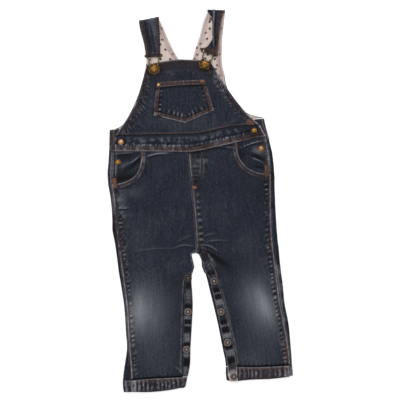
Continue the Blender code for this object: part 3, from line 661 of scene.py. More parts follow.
def filled(ring: Array, inner: Array) -> tuple[Array, Faces]:
    """Points and triangles that fill a closed ring, through inner points.

    Args:
        ring: The ring's points, which come first in the result.
        inner: Points inside the ring.

    Returns:
        The points, and the triangles' indices.
    """
    given = [Vector(point) for point in ring] + [Vector(point) for point in inner]
    found, _, triangles = delaunay_2d_cdt(given, [], [list(range(len(ring)))], 1, MERGE, False)[:3]
    flat = np.array([tuple(point) for point in found])
    corners = np.array(triangles)
    middles = flat[corners].mean(axis=1)
    kept = is_inside(middles[:, 0], middles[:, 1], ring)
    return flat, [tuple(int(k) for k in face) for face in corners[kept]]


@dataclass
class Shell:
    """A thin closed mesh: an upper and a lower face, joined round a rounded rim."""

    upper: Array
    upper_faces: Faces
    upper_ring: list[int]
    lower: Array
    lower_faces: Faces
    lower_ring: list[int]
    rim: Array

    def made(self, name: str, shows: dict[str, Array], weave: Array) -> Piece:
        """Build the mesh and its object.

        Args:
            name: The piece's name.
            shows: Named values for the points of upper face, rim and lower face in turn.
            weave: Each point's place in the flat cloth, in millimetres.

        Returns:
            The new object.
        """
        points = np.vstack([self.upper, self.rim, self.lower]) * MM
        rim_at, lower_at = len(self.upper), len(self.upper) + len(self.rim)
        faces = list(self.upper_faces)
        faces += [tuple(k + lower_at for k in face[::-1]) for face in self.lower_faces]
        count = len(self.rim)
        for k in range(count):
            after = (k + 1) % count
            low, low_after = self.lower_ring[k] + lower_at, self.lower_ring[after] + lower_at
            faces.append((self.upper_ring[after], self.upper_ring[k], rim_at + k, rim_at + after))
            faces.append((rim_at + after, rim_at + k, low, low_after))
        mesh = bpy.data.meshes.new(name)
        mesh.from_pydata(points.tolist(), [], faces)
        for title, values in shows.items():
            keep(mesh, title, values)
        place = mesh.attributes.new("weave", "FLOAT_VECTOR", "POINT")
        place.data.foreach_set("vector", np.asarray(weave, np.float32).ravel())
        return placed(name, mesh)


class Panel(Marks):
    """A flat piece of cloth, laid on the heap and worked out on its grid."""

    def __init__(self, node: str, thickness: float = DENIM, crown: float = 0.8, grain: float = 0.0,
                 gap: float = SEAM_GAP, rise: float = 0.0) -> None:
        """Find the piece's edge and what it lies on.

        Args:
            node: The solid that it stands for.
            thickness: The cloth's thickness.
            crown: How far the middle stands off.
            grain: Degrees that the cloth's length is turned from +Y, anticlockwise.
            gap: How far it stays off what it lies on.
            rise: How far the right end of its top is raised, or the left end where it is below 0.
        """
        self.node, self.thickness, self.grain = node, thickness, grain
        self.outline = Outline(node, rise)
        low, high = self.outline.points.min(axis=0) - MARGIN, self.outline.points.max(axis=0) + MARGIN
        columns = np.nonzero((HEAP.x >= low[0]) & (HEAP.x <= high[0]))[0]
        rows = np.nonzero((HEAP.y >= low[1]) & (HEAP.y <= high[1]))[0]
        self.first = (int(rows[0]), int(columns[0]))
        self.window = (slice(rows[0], rows[-1] + 1), slice(columns[0], columns[-1] + 1))
        x, y = np.meshgrid(HEAP.x[columns], HEAP.y[rows])
        super().__init__(x, y)
        ring = self.outline.points
        self.inside = is_inside(x, y, ring)
        self.rim_distance = Line(np.vstack([ring, ring[:1]])).near(x, y, REACH)[0]
        self.bottom = self.draped() + gap
        inner = np.where(self.inside, np.minimum(self.rim_distance, REACH), 0.0)
        self.height += crown * (1.0 - np.exp(-inner / CROWN_RISE))

    def draped(self) -> Array:
        """The height of a cloth drawn over what lies under it, sloping softly off each step.

        Returns:
            The height over each cell of the panel's window.
        """
        below = np.where(self.inside, HEAP.top[self.window], 0.0)
        floor = below.copy()
        for axis in (0, 1):
            for turn in (-1, 1):
                floor = np.maximum(floor, np.roll(below, turn, axis=axis))
        level = floor
        for _ in range(DRAPE_PASSES):
            level = np.maximum(floor, soften(level, self.inside, DRAPE_SOFT))
        return soften(level, self.inside, DRAPE_LAST)

    def values(self, field_: Array, points: Array) -> Array:
        """A field's values at flat points."""
        return HEAP.read(field_, points[:, 0], points[:, 1], self.first)

    def scattered(self, spacing: float, clear: float) -> Array:
        """Points in staggered rows all over the piece.

        Args:
            spacing: The distance between neighbours.
            clear: How far they keep from the edge.

        Returns:
            The points.
        """
        low, high = self.outline.points.min(axis=0), self.outline.points.max(axis=0)
        rows = np.arange(low[1], high[1], spacing * math.sqrt(0.75))
        runs = [np.arange(low[0] + spacing / 2 * (k % 2), high[0], spacing) for k in range(len(rows))]
        points = np.array([(x, y) for y, run in zip(rows, runs) for x in run]).reshape(-1, 2)
        inside = self.values(self.inside.astype(float), points) > 0.6
        return points[inside & (self.values(self.rim_distance, points) > clear)]

    def build(self, name: str) -> Piece:
        """Make the shell and raise the heap to it.

        Args:
            name: The piece's name.

        Returns:
            The new object.
        """
        lift = np.maximum(self.bottom + self.height, 0.0)
        rim = self.outline.points
        ring = drawn_in(rim, RIM)
        flat, faces = filled(ring, self.scattered(FINE, 0.75 * FINE + RIM))
        under, under_faces = filled(ring, self.scattered(COARSE, 0.6 * COARSE))
        upper = np.column_stack([flat, self.values(lift, flat) + self.thickness])
        lower = np.column_stack([under, self.values(soften(lift, self.inside, UNDER_SOFT), under)])
        lower[: len(ring), 2] = upper[: len(ring), 2] - self.thickness
        middle = np.column_stack([rim, (upper[: len(ring), 2] + lower[: len(ring), 2]) / 2])
        order = list(range(len(ring)))
        shell = Shell(upper, faces, order, lower, under_faces, order, middle)
        places = np.vstack([flat, rim, under])
        shows = {title: self.values(getattr(self, title), places) for title in ("tone", "fade", "rust")}
        for values in shows.values():
            values[len(flat) + len(rim):] = 0.0
        c, s = math.cos(math.radians(self.grain)), math.sin(math.radians(self.grain))
        weave = np.column_stack([places @ (c, s), places @ (-s, c), np.zeros(len(places))])
        top = HEAP.top[self.window]
        HEAP.top[self.window] = np.where(self.inside, np.maximum(top, lift + self.thickness), top)
        return shell.made(name, shows, weave)


@dataclass
class Track:
    """A run on the surface of the cloth, for thread to follow."""

    points: Array
    normals: Array

    def __post_init__(self) -> None:
        """Measure the run up to each point."""
        self.run = run_along(self.points)

    def at(self, along: Array, values: Array) -> Array:
        """The points or normals at the given runs."""
        parts = [np.interp(along.ravel(), self.run, values[:, k]).reshape(along.shape) for k in range(3)]
        return np.stack(parts, axis=-1)


def on_top(line: Line) -> Track:
    """The track of a line on top of the heap.

    Args:
        line: The line.

    Returns:
        Its track, in steps of a millimetre.
    """
    fine = through(line.points, 1.0) if len(line.points) < 4 else Line(line.points).at(
        np.linspace(0.0, line.length, max(4, round(line.length)) + 1))
    level = HEAP.level(fine[:, 0], fine[:, 1])
    return Track(np.column_stack([fine, level]), np.tile((0.0, 0.0, 1.0), (len(fine), 1)))


class Strip(Marks):
    """Cloth worked out on rows and columns of its middle surface, where it folds over."""

    def __init__(self, grid: Array, thickness: float) -> None:
        """Measure the flat cloth.

        Args:
            grid: Rows and columns of points; the outer side has its columns anticlockwise of its rows.
            thickness: The cloth's thickness.
        """
        self.grid, self.thickness = grid, thickness
        across = np.linalg.norm(np.diff(grid, axis=1), axis=2)
        along = np.linalg.norm(np.diff(grid, axis=0), axis=2).mean(axis=1)
        u = np.concatenate([np.zeros((len(grid), 1)), np.cumsum(across, axis=1)], axis=1)
        v = np.concatenate([[0.0], np.cumsum(along)])
        super().__init__(u - u[:, -1:] / 2, np.tile(v[:, None], (1, grid.shape[1])))
        normal = np.cross(np.gradient(grid, axis=1), np.gradient(grid, axis=0))
        self.normal = normal / np.linalg.norm(normal, axis=2)[..., None]

    @property
    def size(self) -> Way:
        """The flat cloth's mean width and its length."""
        return float(np.mean(self.x[:, -1] - self.x[:, 0])), float(self.y[-1, 0])

    def column(self, k: int) -> Line:
        """The line down one column, on the flat cloth."""
        return Line(np.column_stack([self.x[:, k], self.y[:, k]]))

    def crossing(self, along: float, row: int = 0) -> Line:
        """The line across the flat cloth at a run along it, as wide as one of its rows."""
        return Line(np.array([(self.x[row, 0], along), (self.x[row, -1], along)]))

    def surface(self) -> Array:
        """The points of the outer face.

        Returns:
            The points in rows and columns.
        """
        surface = self.grid + self.normal * (self.thickness / 2 + self.height)[..., None]
        surface[..., 2] = np.maximum(surface[..., 2], FLOOR_CLEAR)
        return surface

    def track(self, column: int, inset: float, start: float, stop: float) -> Track:
        """A run down the outer face, beside one of its columns.

        Args:
            column: 0 or -1, the edge that it follows.
            inset: How far it keeps from that edge.
            start: Where it starts along the cloth.
            stop: Where it stops along the cloth.

        Returns:
            The track.
        """
        surface = self.surface()
        rows = np.nonzero((self.y[:, 0] >= start) & (self.y[:, 0] <= stop))[0]
        points, normals = [], []
        for row in rows:
            at = self.x[row, column] + (inset if column == 0 else -inset)
            points.append([np.interp(at, self.x[row], surface[row, :, k]) for k in range(3)])
            normals.append([np.interp(at, self.x[row], self.normal[row, :, k]) for k in range(3)])
        return Track(np.array(points), np.array(normals))

    def build(self, name: str) -> Piece:
        """Make the shell and raise the heap to it.

        Args:
            name: The piece's name.

        Returns:
            The new object.
        """
        rows, columns = self.x.shape
        index = np.arange(rows * columns).reshape(rows, columns)
        corners = np.stack([index[:-1, :-1], index[:-1, 1:], index[1:, 1:], index[1:, :-1]], axis=-1)
        faces = [tuple(face) for face in corners.reshape(-1, 4).tolist()]
        ring = [int(k) for k in (*index[0, :-1], *index[:-1, -1], *index[-1, :0:-1], *index[:0:-1, 0])]
        upper = self.surface().reshape(-1, 3)
        lower = (self.grid - self.normal * self.thickness / 2).reshape(-1, 3)
        outward = np.zeros_like(self.grid)
        for edge, beside in ((np.s_[:, 0], np.s_[:, 1]), (np.s_[:, -1], np.s_[:, -2]),
                             (np.s_[0], np.s_[1]), (np.s_[-1], np.s_[-2])):
            away = self.grid[edge] - self.grid[beside]
            outward[edge] += away / np.maximum(np.linalg.norm(away, axis=-1), TINY)[..., None]
        middle = ((upper + lower) / 2 + outward.reshape(-1, 3) * RIM)[ring]
        shell = Shell(upper, faces, ring, lower, faces, ring, middle)
        shows, flat = {}, np.column_stack([self.x.ravel(), self.y.ravel(), np.zeros(self.x.size)])
        for title in ("tone", "fade", "rust"):
            values = getattr(self, title).ravel()
            shows[title] = np.concatenate([values, values[ring], np.zeros(len(values))])
        HEAP.lay(self.grid + np.array([0.0, 0.0, self.thickness / 2]))
        return shell.made(name, shows, np.vstack([flat, flat[ring], flat]))


STITCH_SECTION = 5       # sides of a stitch
STITCH_STATIONS = (      # along a stitch: share of its length, of its thickness, and how far it stands up
    (0.0, 0.45, -0.75), (0.14, 0.9, 0.2), (0.5, 1.0, 0.5), (0.86, 0.9, 0.2), (1.0, 0.45, -0.75))


class Thread:
    """Topstitching: many small stitches in one mesh."""

    first: float = 0.3            # where a row's first stitch starts
    share: float = 0.8            # of the pitch, that a stitch covers
    slip: float = 0.12            # of the pitch, that a stitch is off its place
    slow_fading: Way = (0.28, 14.0)      # how far the fading wanders along a row, and over what length
    quick_fading: float = 0.1     # how far it differs from stitch to stitch
    tack_pitch: float = 0.55      # from one stitch of a bar tack to the next
    tack_slip: float = 0.3        # how far they are off their places
    tack_rise: float = 0.25       # how far they stand up
    tack_thick: float = 0.75      # their thread's thickness
    tack_fading: float = 0.15     # how far their fading differs

    def __init__(self) -> None:
        """Start with no stitches."""
        self.points: list[Array] = []
        self.age: list[Array] = []

    def stitches(self, track: Track, starts: Array, stops: Array, thick: float, age: Array) -> None:
        """Stitches between given runs of a track.

        Args:
            track: The run that they follow.
            starts: Where each starts.
            stops: Where each stops.
            thick: The thread's thickness.
            age: How faded each is, from 0, bright, to 1.
        """
        shares, sizes, rises = (np.array(column) for column in zip(*STITCH_STATIONS))
        along = starts[:, None] + (stops - starts)[:, None] * shares
        centre, normal = track.at(along, track.points), track.at(along, track.normals)
        run = np.gradient(centre, axis=1)
        run /= np.maximum(np.linalg.norm(run, axis=2), TINY)[..., None]
        side = np.cross(run, normal)
        side /= np.maximum(np.linalg.norm(side, axis=2), TINY)[..., None]
        centre = centre + normal * (rises * thick / 2)[None, :, None]
        turn = 2.0 * math.pi * np.arange(STITCH_SECTION) / STITCH_SECTION
        wide = (sizes[:, None] * np.cos(turn) * thick / 2)[None, :, :, None]
        tall = (sizes[:, None] * np.sin(turn) * thick / 2)[None, :, :, None]
        rings = centre[:, :, None] + side[:, :, None] * wide + normal[:, :, None] * tall
        self.points.append(rings.reshape(-1, 3))
        self.age.append(np.repeat(age, STITCH_SECTION * len(shares)))

    def run(self, track: Track, age: float, seed: int, pitch: float = 3.4, thick: float = 0.62) -> None:
        """A row of stitches.

        Args:
            track: The run that they follow.
            age: How faded they are, from 0 to 1.
            seed: Picks their unevenness.
            pitch: The length of a stitch and the gap after it.
            thick: The thread's thickness.
        """
        if track.run[-1] < pitch:
            return
        rng = np.random.default_rng(seed)
        starts = np.arange(self.first, track.run[-1] - self.share * pitch, pitch)
        starts = starts + rng.uniform(-self.slip, self.slip, len(starts)) * pitch
        most, length = self.slow_fading
        quick = rng.uniform(-self.quick_fading, self.quick_fading, len(starts))
        ages = age + most * wander(starts, length, seed) + quick
        self.stitches(track, starts, starts + self.share * pitch, thick, np.clip(ages, 0.0, 2.0))

    def tack(self, start: Way, stop: Way, width: float, age: float, seed: int) -> None:
        """A bar tack: close stitches across a short bar.

        Args:
            start: One end of the bar's middle.
            stop: The other end.
            width: The bar's width.
            age: How faded it is.
            seed: Picks its unevenness.
        """
        a, b = np.array(start), np.array(stop)
        run = (b - a) / math.dist(start, stop)
        side = np.array([-run[1], run[0]]) * width / 2
        rng = np.random.default_rng(seed)
        for place in np.arange(0.0, math.dist(start, stop), self.tack_pitch):
            middle, slip = a + run * place, run * rng.uniform(-self.tack_slip, self.tack_slip)
            track = on_top(Line(np.array([middle - side - slip, middle + side + slip])))
            track.points[:, 2] += self.tack_rise
            ends = np.array([0.0]), np.array([track.run[-1]])
            faded = np.array([age + rng.uniform(-self.tack_fading, self.tack_fading)])
            self.stitches(track, *ends, self.tack_thick, faded)

    def build(self, name: str) -> Piece:
        """Join all the stitches into one object.

        Args:
            name: The piece's name.

        Returns:
            The new object.
        """
        points = np.vstack(self.points) * MM
        stations, sides = len(STITCH_STATIONS), STITCH_SECTION
        walls = [(low + k, low + (k + 1) % sides, low + sides + (k + 1) % sides, low + sides + k)
                 for low in range(0, (stations - 1) * sides, sides) for k in range(sides)]
        ends = [tuple(range(sides))[::-1], tuple(range((stations - 1) * sides, stations * sides))]
        faces = [tuple(k + first for k in face) for first in range(0, len(points), stations * sides)
                 for face in walls + ends]
        mesh = bpy.data.meshes.new(name)
        mesh.from_pydata(points.tolist(), [], faces)
        keep(mesh, "age", np.concatenate(self.age))
        shape = bmesh.new()
        shape.from_mesh(mesh)
        bmesh.ops.recalc_face_normals(shape, faces=shape.faces[:])
        shape.to_mesh(mesh)
        shape.free()
        return placed(name, mesh)


def colour(code: str) -> Place:
    """A colour for the shaders from its two-digit parts, such as "2c343e"."""
    parts = [int(code[k:k + 2], 16) / 255.0 for k in (0, 2, 4)]
    return tuple(part / 12.92 if part <= 0.04045 else ((part + 0.055) / 1.055) ** 2.4 for part in parts)


class Value:
    """A number in a shader, which takes part in sums."""

    def __init__(self, graph: "Graph", socket: Socket) -> None:
        """Wrap the output of one of a shader's nodes."""
        self.graph, self.socket = graph, socket

    def sum(self, operation: str, *others: object, clamp: bool = False) -> "Value":
        """One Math node on this value and others.

        Args:
            operation: What the node works out.
            others: Its further inputs.
            clamp: Whether the outcome stays between 0 and 1.

        Returns:
            The outcome.
        """
        made = self.graph.node("ShaderNodeMath", {"operation": operation, "use_clamp": clamp},
                               {0: self, **{k + 1: other for k, other in enumerate(others)}})
        return Value(self.graph, made.outputs[0])

    def __add__(self, other: object) -> "Value":
        """This and another."""
        return self.sum("ADD", other)

    __radd__ = __add__

    def __mul__(self, other: object) -> "Value":
        """This times another."""
        return self.sum("MULTIPLY", other)

    __rmul__ = __mul__

    def __sub__(self, other: object) -> "Value":
        """This less another."""
        return self.sum("SUBTRACT", other)

    def __rsub__(self, other: object) -> "Value":
        """Another less this."""
        return self * -1.0 + other

    def __truediv__(self, other: object) -> "Value":
        """This over another."""
        return self.sum("DIVIDE", other)

    def clamped(self) -> "Value":
        """Kept from 0 to 1."""
        return self.sum("ADD", 0.0, clamp=True)

    def step(self, low: float, high: float) -> "Value":
        """A smooth step from 0 at low to 1 at high.

        Args:
            low: Where the step starts.
            high: Where it ends.

        Returns:
            The step's value.
        """
        made = self.graph.node("ShaderNodeMapRange", {"interpolation_type": "SMOOTHSTEP"},
                               {"Value": self, "From Min": low, "From Max": high})
        return Value(self.graph, made.outputs["Result"])


class Graph:
    """One material under construction: a Principled shader and what feeds it."""

    def __init__(self, name: str, **plain: float) -> None:
        """Start with the shader alone.

        Args:
            name: The material's name.
            plain: Values that are the same all over, for the shader's own sockets.
        """
        self.material = bpy.data.materials.new(name)
        self.material.use_nodes = True
        self.nodes, self.links = self.material.node_tree.nodes, self.material.node_tree.links
        self.nodes.clear()
        titles = (title.replace("_", " ").title().replace("Ior", "IOR") for title in plain)
        self.shader = self.node("ShaderNodeBsdfPrincipled", {}, dict(zip(titles, plain.values())))
        self.node("ShaderNodeOutputMaterial", {}, {"Surface": self.shader.outputs[0]})

    def node(self, kind: str, settings: dict[str, object], values: dict) -> bpy.types.Node:
        """Add a node.

        Args:
            kind: Its type.
            settings: Its own settings, set first.
            values: Numbers, colours or links for its sockets, by name or number.

        Returns:
            The new node.
        """
        made = self.nodes.new(kind)
        for title, value in settings.items():
            setattr(made, title, value)
        for place, value in values.items():
            self.feed(made.inputs[place], value)
        return made

    def feed(self, socket: Socket, value: object) -> None:
        """Link or set one input.

        Args:
            socket: The input.
            value: A value, another node's output or a constant.
        """
        if isinstance(value, Value):
            self.links.new(value.socket, socket)
        elif isinstance(value, Socket):
            self.links.new(value, socket)
        elif isinstance(value, tuple) and socket.type == "RGBA":
            socket.default_value = (*value, 1.0)
        else:
            socket.default_value = value

    def attribute(self, title: str) -> Value:
        """A number that the mesh keeps at its points."""
        return Value(self, self.node("ShaderNodeAttribute", {"attribute_name": title}, {}).outputs["Fac"])

    def weave(self, across: float, along: float) -> Socket:
        """The place in the flat cloth, with lengths of so many millimetres across and along as 1."""
        flat = self.node("ShaderNodeAttribute", {"attribute_name": "weave"}, {}).outputs["Vector"]
        return self.scaled(flat, (1 / across, 1 / along, 1.0))

    def place(self, size: float) -> Socket:
        """The place in the object, with a length of so many millimetres as 1."""
        own = self.node("ShaderNodeTexCoord", {}, {}).outputs["Object"]
        return self.scaled(own, (1 / MM / size,) * 3)

    def scaled(self, vector: Socket, sizes: Place) -> Socket:
        """A vector times another, part by part."""
        made = self.node("ShaderNodeVectorMath", {"operation": "MULTIPLY"}, {0: vector, 1: sizes})
        return made.outputs[0]

    def noise(self, place: Socket, detail: float = 2.0) -> Value:
        """Cloudy values about a half."""
        made = self.node("ShaderNodeTexNoise", {}, {"Vector": place, "Scale": 1.0, "Detail": detail})
        return Value(self, made.outputs["Fac"])

    def parts(self, vector: Socket) -> list[Value]:
        """The three numbers of a vector."""
        made = self.node("ShaderNodeSeparateXYZ", {}, {0: vector})
        return [Value(self, output) for output in made.outputs]

    def mix(self, share: object, first: object, second: object) -> Socket:
        """Two colours mixed, the second one by its share."""
        made = self.node("ShaderNodeMix", {"data_type": "RGBA"}, {0: share, 6: first, 7: second})
        return made.outputs[2]

    def bump(self, height: Value, distance: float) -> None:
        """Small relief from a height of 0 to 1, over so many millimetres.

        Args:
            height: The relief.
            distance: How high a height of 1 stands.
        """
        values = {"Height": height, "Distance": distance * MM, "Strength": 1.0}
        made = self.node("ShaderNodeBump", {}, values)
        self.feed(self.shader.inputs["Normal"], made.outputs[0])


@dataclass(frozen=True)
class Denim:
    """Dark indigo denim, washed: a fine twill, streaks along its length, paler wear, and painted shade and
    highlights set by its tone.
    """

    # near-black: painted shade in hollows, folds and under edges, and unfaded indigo
    unfaded_and_shade: str = "08080b"
    dark: str = "10131b"
    mid: str = "202631"
    fleck: str = "3d444f"
    # paler colour of worn ridges and edges, and of painted highlights on crests
    worn: str = "74757a"
    faded: str = "70737a"
    rust: str = "45332e"
    plum: str = "272430"
    # near-white: pale bare wear and painted highlights where the tone is highest
    bare_and_highlight: str = "b9aaa5"
    twill: float = 0.85      # millimetres between two ribs of the weave

    def material(self) -> bpy.types.Material:
        """Build the shader.

        Returns:
            The material.
        """
        graph = Graph("denim", roughness=0.88, specular_ior_level=0.18)
        tone, fade, rust = (graph.attribute(title) for title in ("tone", "fade", "rust"))
        blotch = graph.noise(graph.weave(19.0, 30.0), 2.0)
        streak = graph.noise(graph.weave(2.3, 34.0), 2.0)
        mottle = graph.noise(graph.weave(1.7, 3.4), 2.0)
        slub = graph.noise(graph.weave(0.55, 7.0), 1.0)
        fleck = graph.noise(graph.weave(0.7, 0.9), 1.0)
        share = (streak - 0.5) * 2.2 + (mottle - 0.5) * 3.0 + (fleck - 0.5) * 0.7 + 0.5
        cloth = graph.mix(share.clamped(), colour(self.dark), colour(self.mid))
        cloth = graph.mix((blotch * 2.4 - 0.8).clamped() * 0.45, cloth, colour(self.plum))
        bright = (slub * 0.5 + mottle * 0.5).step(0.55, 0.7)
        cloth = graph.mix(bright * 0.48, cloth, colour(self.fleck))
        uneven = streak * 0.6 + mottle * 1.2 + 0.1
        wash = (fade * (streak * 0.7 + mottle * 0.6 + 0.35)).clamped()
        cloth = graph.mix(wash, cloth, colour(self.faded))
        cloth = graph.mix((rust * uneven).clamped(), cloth, colour(self.rust))
        # tone above 0 lightens to worn cloth and painted highlight, below 0 darkens to painted shade, and
        # highest to bare pale cloth
        cloth = graph.mix((tone * uneven).clamped(), cloth, colour(self.worn))
        cloth = graph.mix((tone * -1.0).clamped(), cloth, colour(self.unfaded_and_shade))
        cloth = graph.mix((tone * uneven - 1.15).clamped(), cloth, colour(self.bare_and_highlight))
        graph.feed(graph.shader.inputs["Base Color"], cloth)
        graph.feed(graph.shader.inputs["Roughness"], 0.95 - 0.12 * tone.clamped())
        across, along, _ = graph.parts(graph.weave(self.twill, self.twill))
        rib = ((across + along * 0.8) * (2.0 * math.pi)).sum("SINE")
        graph.bump(rib * 0.3 + fleck * 0.7 + slub * 0.6, 0.16)
        return graph.material


@dataclass(frozen=True)
class PrintedCotton:
    """Pale pink plain weave with dark dots in staggered rows and a few small sprigs."""

    ground: str = "c1b4ac"
    shade: str = "a69892"
    ink: str = "2c1e25"
    seam: str = "9a7f80"
    # darker colour for painted shade along folded edges and in stitch grooves
    hollow_shade: str = "6d5c5e"
    crest: str = "efe6e2"
    across: float = 15.5     # millimetres between dots in a row
    along: float = 8.0       # millimetres between rows
    dot: float = 2.1         # radius of a dot

    def motif(self, graph: Graph, across: float, along: float, size: float, petals: float, start: Way,
              stagger: float = 1.0) -> Value:
        """Small petalled marks in staggered rows.

        Args:
            graph: The shader.
            across: Distance between marks in a row.
            along: Distance between rows.
            size: The marks' radius.
            petals: How many petals they have.
            start: Where the first mark lies.
            stagger: How far the rows are shifted against each other.

        Returns:
            1 on a mark and 0 off it.
        """
        u, v, _ = graph.parts(graph.weave(1.0, 1.0))
        row = (v + start[1]) / along
        number = row.sum("FLOOR")
        shift = ((number * 0.5).sum("FRACT") + (number * 12.9898).sum("SINE") * 0.16) * stagger
        place = (u + start[0]) / across + shift
        slip = (place.sum("FLOOR") * 7.13 + number * 3.7).sum("SINE") * 0.17
        x = (place.sum("FRACT") - 0.5 + slip) * across
        y = (row.sum("FRACT") - 0.5 + slip * 0.8) * along
        radius = (x * x + y * y).sum("SQRT")
        turn = y.sum("ARCTAN2", x)
        limit = ((turn * petals + number).sum("SINE") * 0.3 + 0.85) * size
        return 1.0 - (radius - limit).step(-0.25, 0.3)

    def material(self) -> bpy.types.Material:
        """Build the shader.

        Returns:
            The material.
        """
        graph = Graph("printed_cotton", roughness=0.9, specular_ior_level=0.2)
        tone, rust = graph.attribute("tone"), graph.attribute("rust")
        soft = graph.noise(graph.weave(9.0, 12.0), 3.0)
        yarn = graph.noise(graph.weave(0.4, 0.5), 1.0)
        cloth = graph.mix((soft * 1.6 - 0.4).clamped(), colour(self.shade), colour(self.ground))
        dots = self.motif(graph, self.across, self.along, self.dot, 5.0, (3.0, 2.0))
        sprigs = self.motif(graph, 52.0, 43.0, 3.6, 3.0, (35.9, -19.5), 0.0)
        cloth = graph.mix(dots.sum("MAXIMUM", sprigs * 0.85), cloth, colour(self.ink))
        cloth = graph.mix((rust * 0.8).clamped(), cloth, colour(self.seam))
        # tone below 0: painted shade along folded edges and in stitch grooves
        cloth = graph.mix((tone * -1.0).clamped(), cloth, colour(self.hollow_shade))
        cloth = graph.mix(tone.clamped(), cloth, colour(self.crest))
        graph.feed(graph.shader.inputs["Base Color"], cloth)
        across, along, _ = graph.parts(graph.weave(0.55, 0.55))
        plain = (across * (2 * math.pi)).sum("SINE") * (along * (2 * math.pi)).sum("SINE")
        graph.bump(plain * 0.3 + yarn * 0.8, 0.07)
        return graph.material


@dataclass(frozen=True)
class Metal:
    """A plated metal, rubbed bright on some places and darkened in others."""

    name: str
    bright: str
    dull: str
    rosy: str
    roughness: float

    def material(self) -> bpy.types.Material:
        """Build the shader.

        Returns:
            The material.
        """
        graph = Graph(self.name, metallic=1.0, roughness=self.roughness)
        patina = graph.noise(graph.place(2.6), 4.0)
        grain = graph.noise(graph.place(0.5), 2.0)
        share = (patina - 0.5) * 1.6 + (grain - 0.5) * 0.7 + graph.attribute("polish")
        plate = graph.mix(share.clamped(), colour(self.dull), colour(self.bright))
        plate = graph.mix(graph.attribute("rosy"), plate, colour(self.rosy))
        graph.feed(graph.shader.inputs["Base Color"], plate)
        graph.feed(graph.shader.inputs["Roughness"], self.roughness + 0.22 * (1.0 - share.clamped()))
        graph.bump(grain, 0.03)
        return graph.material


@dataclass(frozen=True)
class Yarn:
    """Topstitching thread, bright orange where new and brown where worn."""

    bright: str = "84502c"
    worn: str = "40312c"

    def material(self) -> bpy.types.Material:
        """Build the shader.

        Returns:
            The material.
        """
        graph = Graph("topstitch_thread", roughness=0.75, specular_ior_level=0.3)
        age = graph.attribute("age")
        uneven = graph.noise(graph.place(1.1), 2.0)
        share = (age + (uneven - 0.5) * 0.7).clamped()
        thread = graph.mix(share, colour(self.bright), colour(self.worn))
        graph.feed(graph.shader.inputs["Base Color"], thread)
        graph.bump(uneven, 0.05)
        return graph.material


class Finish(Enum):
    """What a piece is made of."""

    DENIM = "denim"
    PRINT = "printed_cotton"
    BRASS = "brass"
    BRONZE = "antique_bronze"
    THREAD = ""


Seams = tuple[tuple[Line, float, int], ...]


class Workroom:
    """Dresses the finished pieces and works out how the cloth ones were cut."""

    def __init__(self) -> None:
        """Make the materials."""
        self.materials = {
            Finish.DENIM: Denim().material(),
            Finish.PRINT: PrintedCotton().material(),
            Finish.BRASS: Metal("brass", "b08546", "4a3118", "d09c80", 0.4).material(),
            Finish.BRONZE: Metal("antique_bronze", "9c8258", "2a2620", "8a8080", 0.45).material(),
            Finish.THREAD: Yarn().material(),
        }
        self.pieces = 0

    def dress(self, piece: Piece, finish: Finish, *nodes: str) -> Piece:
        """Give a piece its material, and let it ride in place of its solids.

        Args:
            piece: The piece.
            finish: What it is made of.
            nodes: The solids that it stands for.

        Returns:
            The piece.
        """
        piece.data.materials.clear()
        piece.data.materials.append(self.materials[finish])
        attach(piece, BODY)
        if nodes:
            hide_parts(*nodes)
        self.pieces += 1
        LOG.info("%-28s %6d faces", piece.name, len(piece.data.polygons))
        return piece

    def cloth(self, made: "Panel | Strip", node: str, finish: Finish = Finish.DENIM) -> Piece:
        """Build and dress a worked-out cloth that stands for one solid."""
        return self.dress(made.build(f"{node}_cloth"), finish, node)

    def thread(self, made: Thread, name: str) -> Piece:
        """Build and dress the stitches of a sub-assembly."""
        return self.dress(made.build(name), Finish.THREAD)

    def sewn(self, node: str, seams: Seams, tacks: tuple[tuple, ...] = ()) -> Piece:
        """Stitch a piece on top of the heap.

        Args:
            node: The piece's solid.
            seams: Each row of stitches by its line, how faded it is and its seed.
            tacks: Each bar tack by its ends, width, fading and seed.

        Returns:
            The stitches.
        """
        thread = Thread()
        for line, age, seed in seams:
            thread.run(on_top(line), age, seed)
        for tack in tacks:
            thread.tack(*tack)
        return self.thread(thread, f"{node}_stitches")

    def sheet(self, made: "Panel | Strip", node: str, seams: Seams = (),
              tacks: tuple[tuple, ...] = (), finish: Finish = Finish.DENIM) -> None:
        """Build, dress and stitch a cloth piece, and work out its cut.

        Args:
            made: The worked-out cloth.
            node: The solid that it stands for.
            seams: Its rows of stitches.
            tacks: Its bar tacks.
            finish: What it is made of.
        """
        piece = self.cloth(made, node, finish)
        stitches = (self.sewn(node, seams, tacks),) if seams else ()
        lay_claim(made)


def cut_size(flat: Array) -> tuple[Way, float]:
    """The smallest rectangle that a flat closed outline is cut from, and the outline's area.

    Args:
        flat: The outline's points, in millimetres.

    Returns:
        The rectangle's width and length, and the area, in metres.
    """
    best = None
    for turn in np.radians(np.arange(0.0, 90.0, CUT_TURN)):
        across = flat @ (math.cos(turn), math.sin(turn))
        along = flat @ (-math.sin(turn), math.cos(turn))
        size = sorted((float(np.ptp(across)), float(np.ptp(along))))
        if best is None or size[0] * size[1] < best[0] * best[1]:
            best = size
    after = np.roll(flat, -1, axis=0)
    area = abs(float((flat[:, 0] * after[:, 1] - after[:, 0] * flat[:, 1]).sum())) / 2.0
    return (best[0] * MM, best[1] * MM), area * MM * MM


def lay_claim(made: "Panel | Strip") -> None:
    """Work out the cut of a cloth piece; the result is not kept.

    Args:
        made: The cloth as worked out.
    """
    if isinstance(made, Panel):
        flat = made.outline.points
    else:
        left, right = made.column(0).points, made.column(-1).points
        flat = np.vstack([left, right[::-1]])
    size, area = cut_size(flat)


class Side(Enum):
    """Which side of the garment as it lies: left is -X."""

    LEFT = "left"
    RIGHT = "right"

    @property
    def sign(self) -> float:
        """The direction from this side's outer edge to the middle."""
        return self.pick(1.0, -1.0)

    def pick(self, left: Any, right: Any) -> Any:
        """The one of two that is this side's."""
        return left if self is Side.LEFT else right


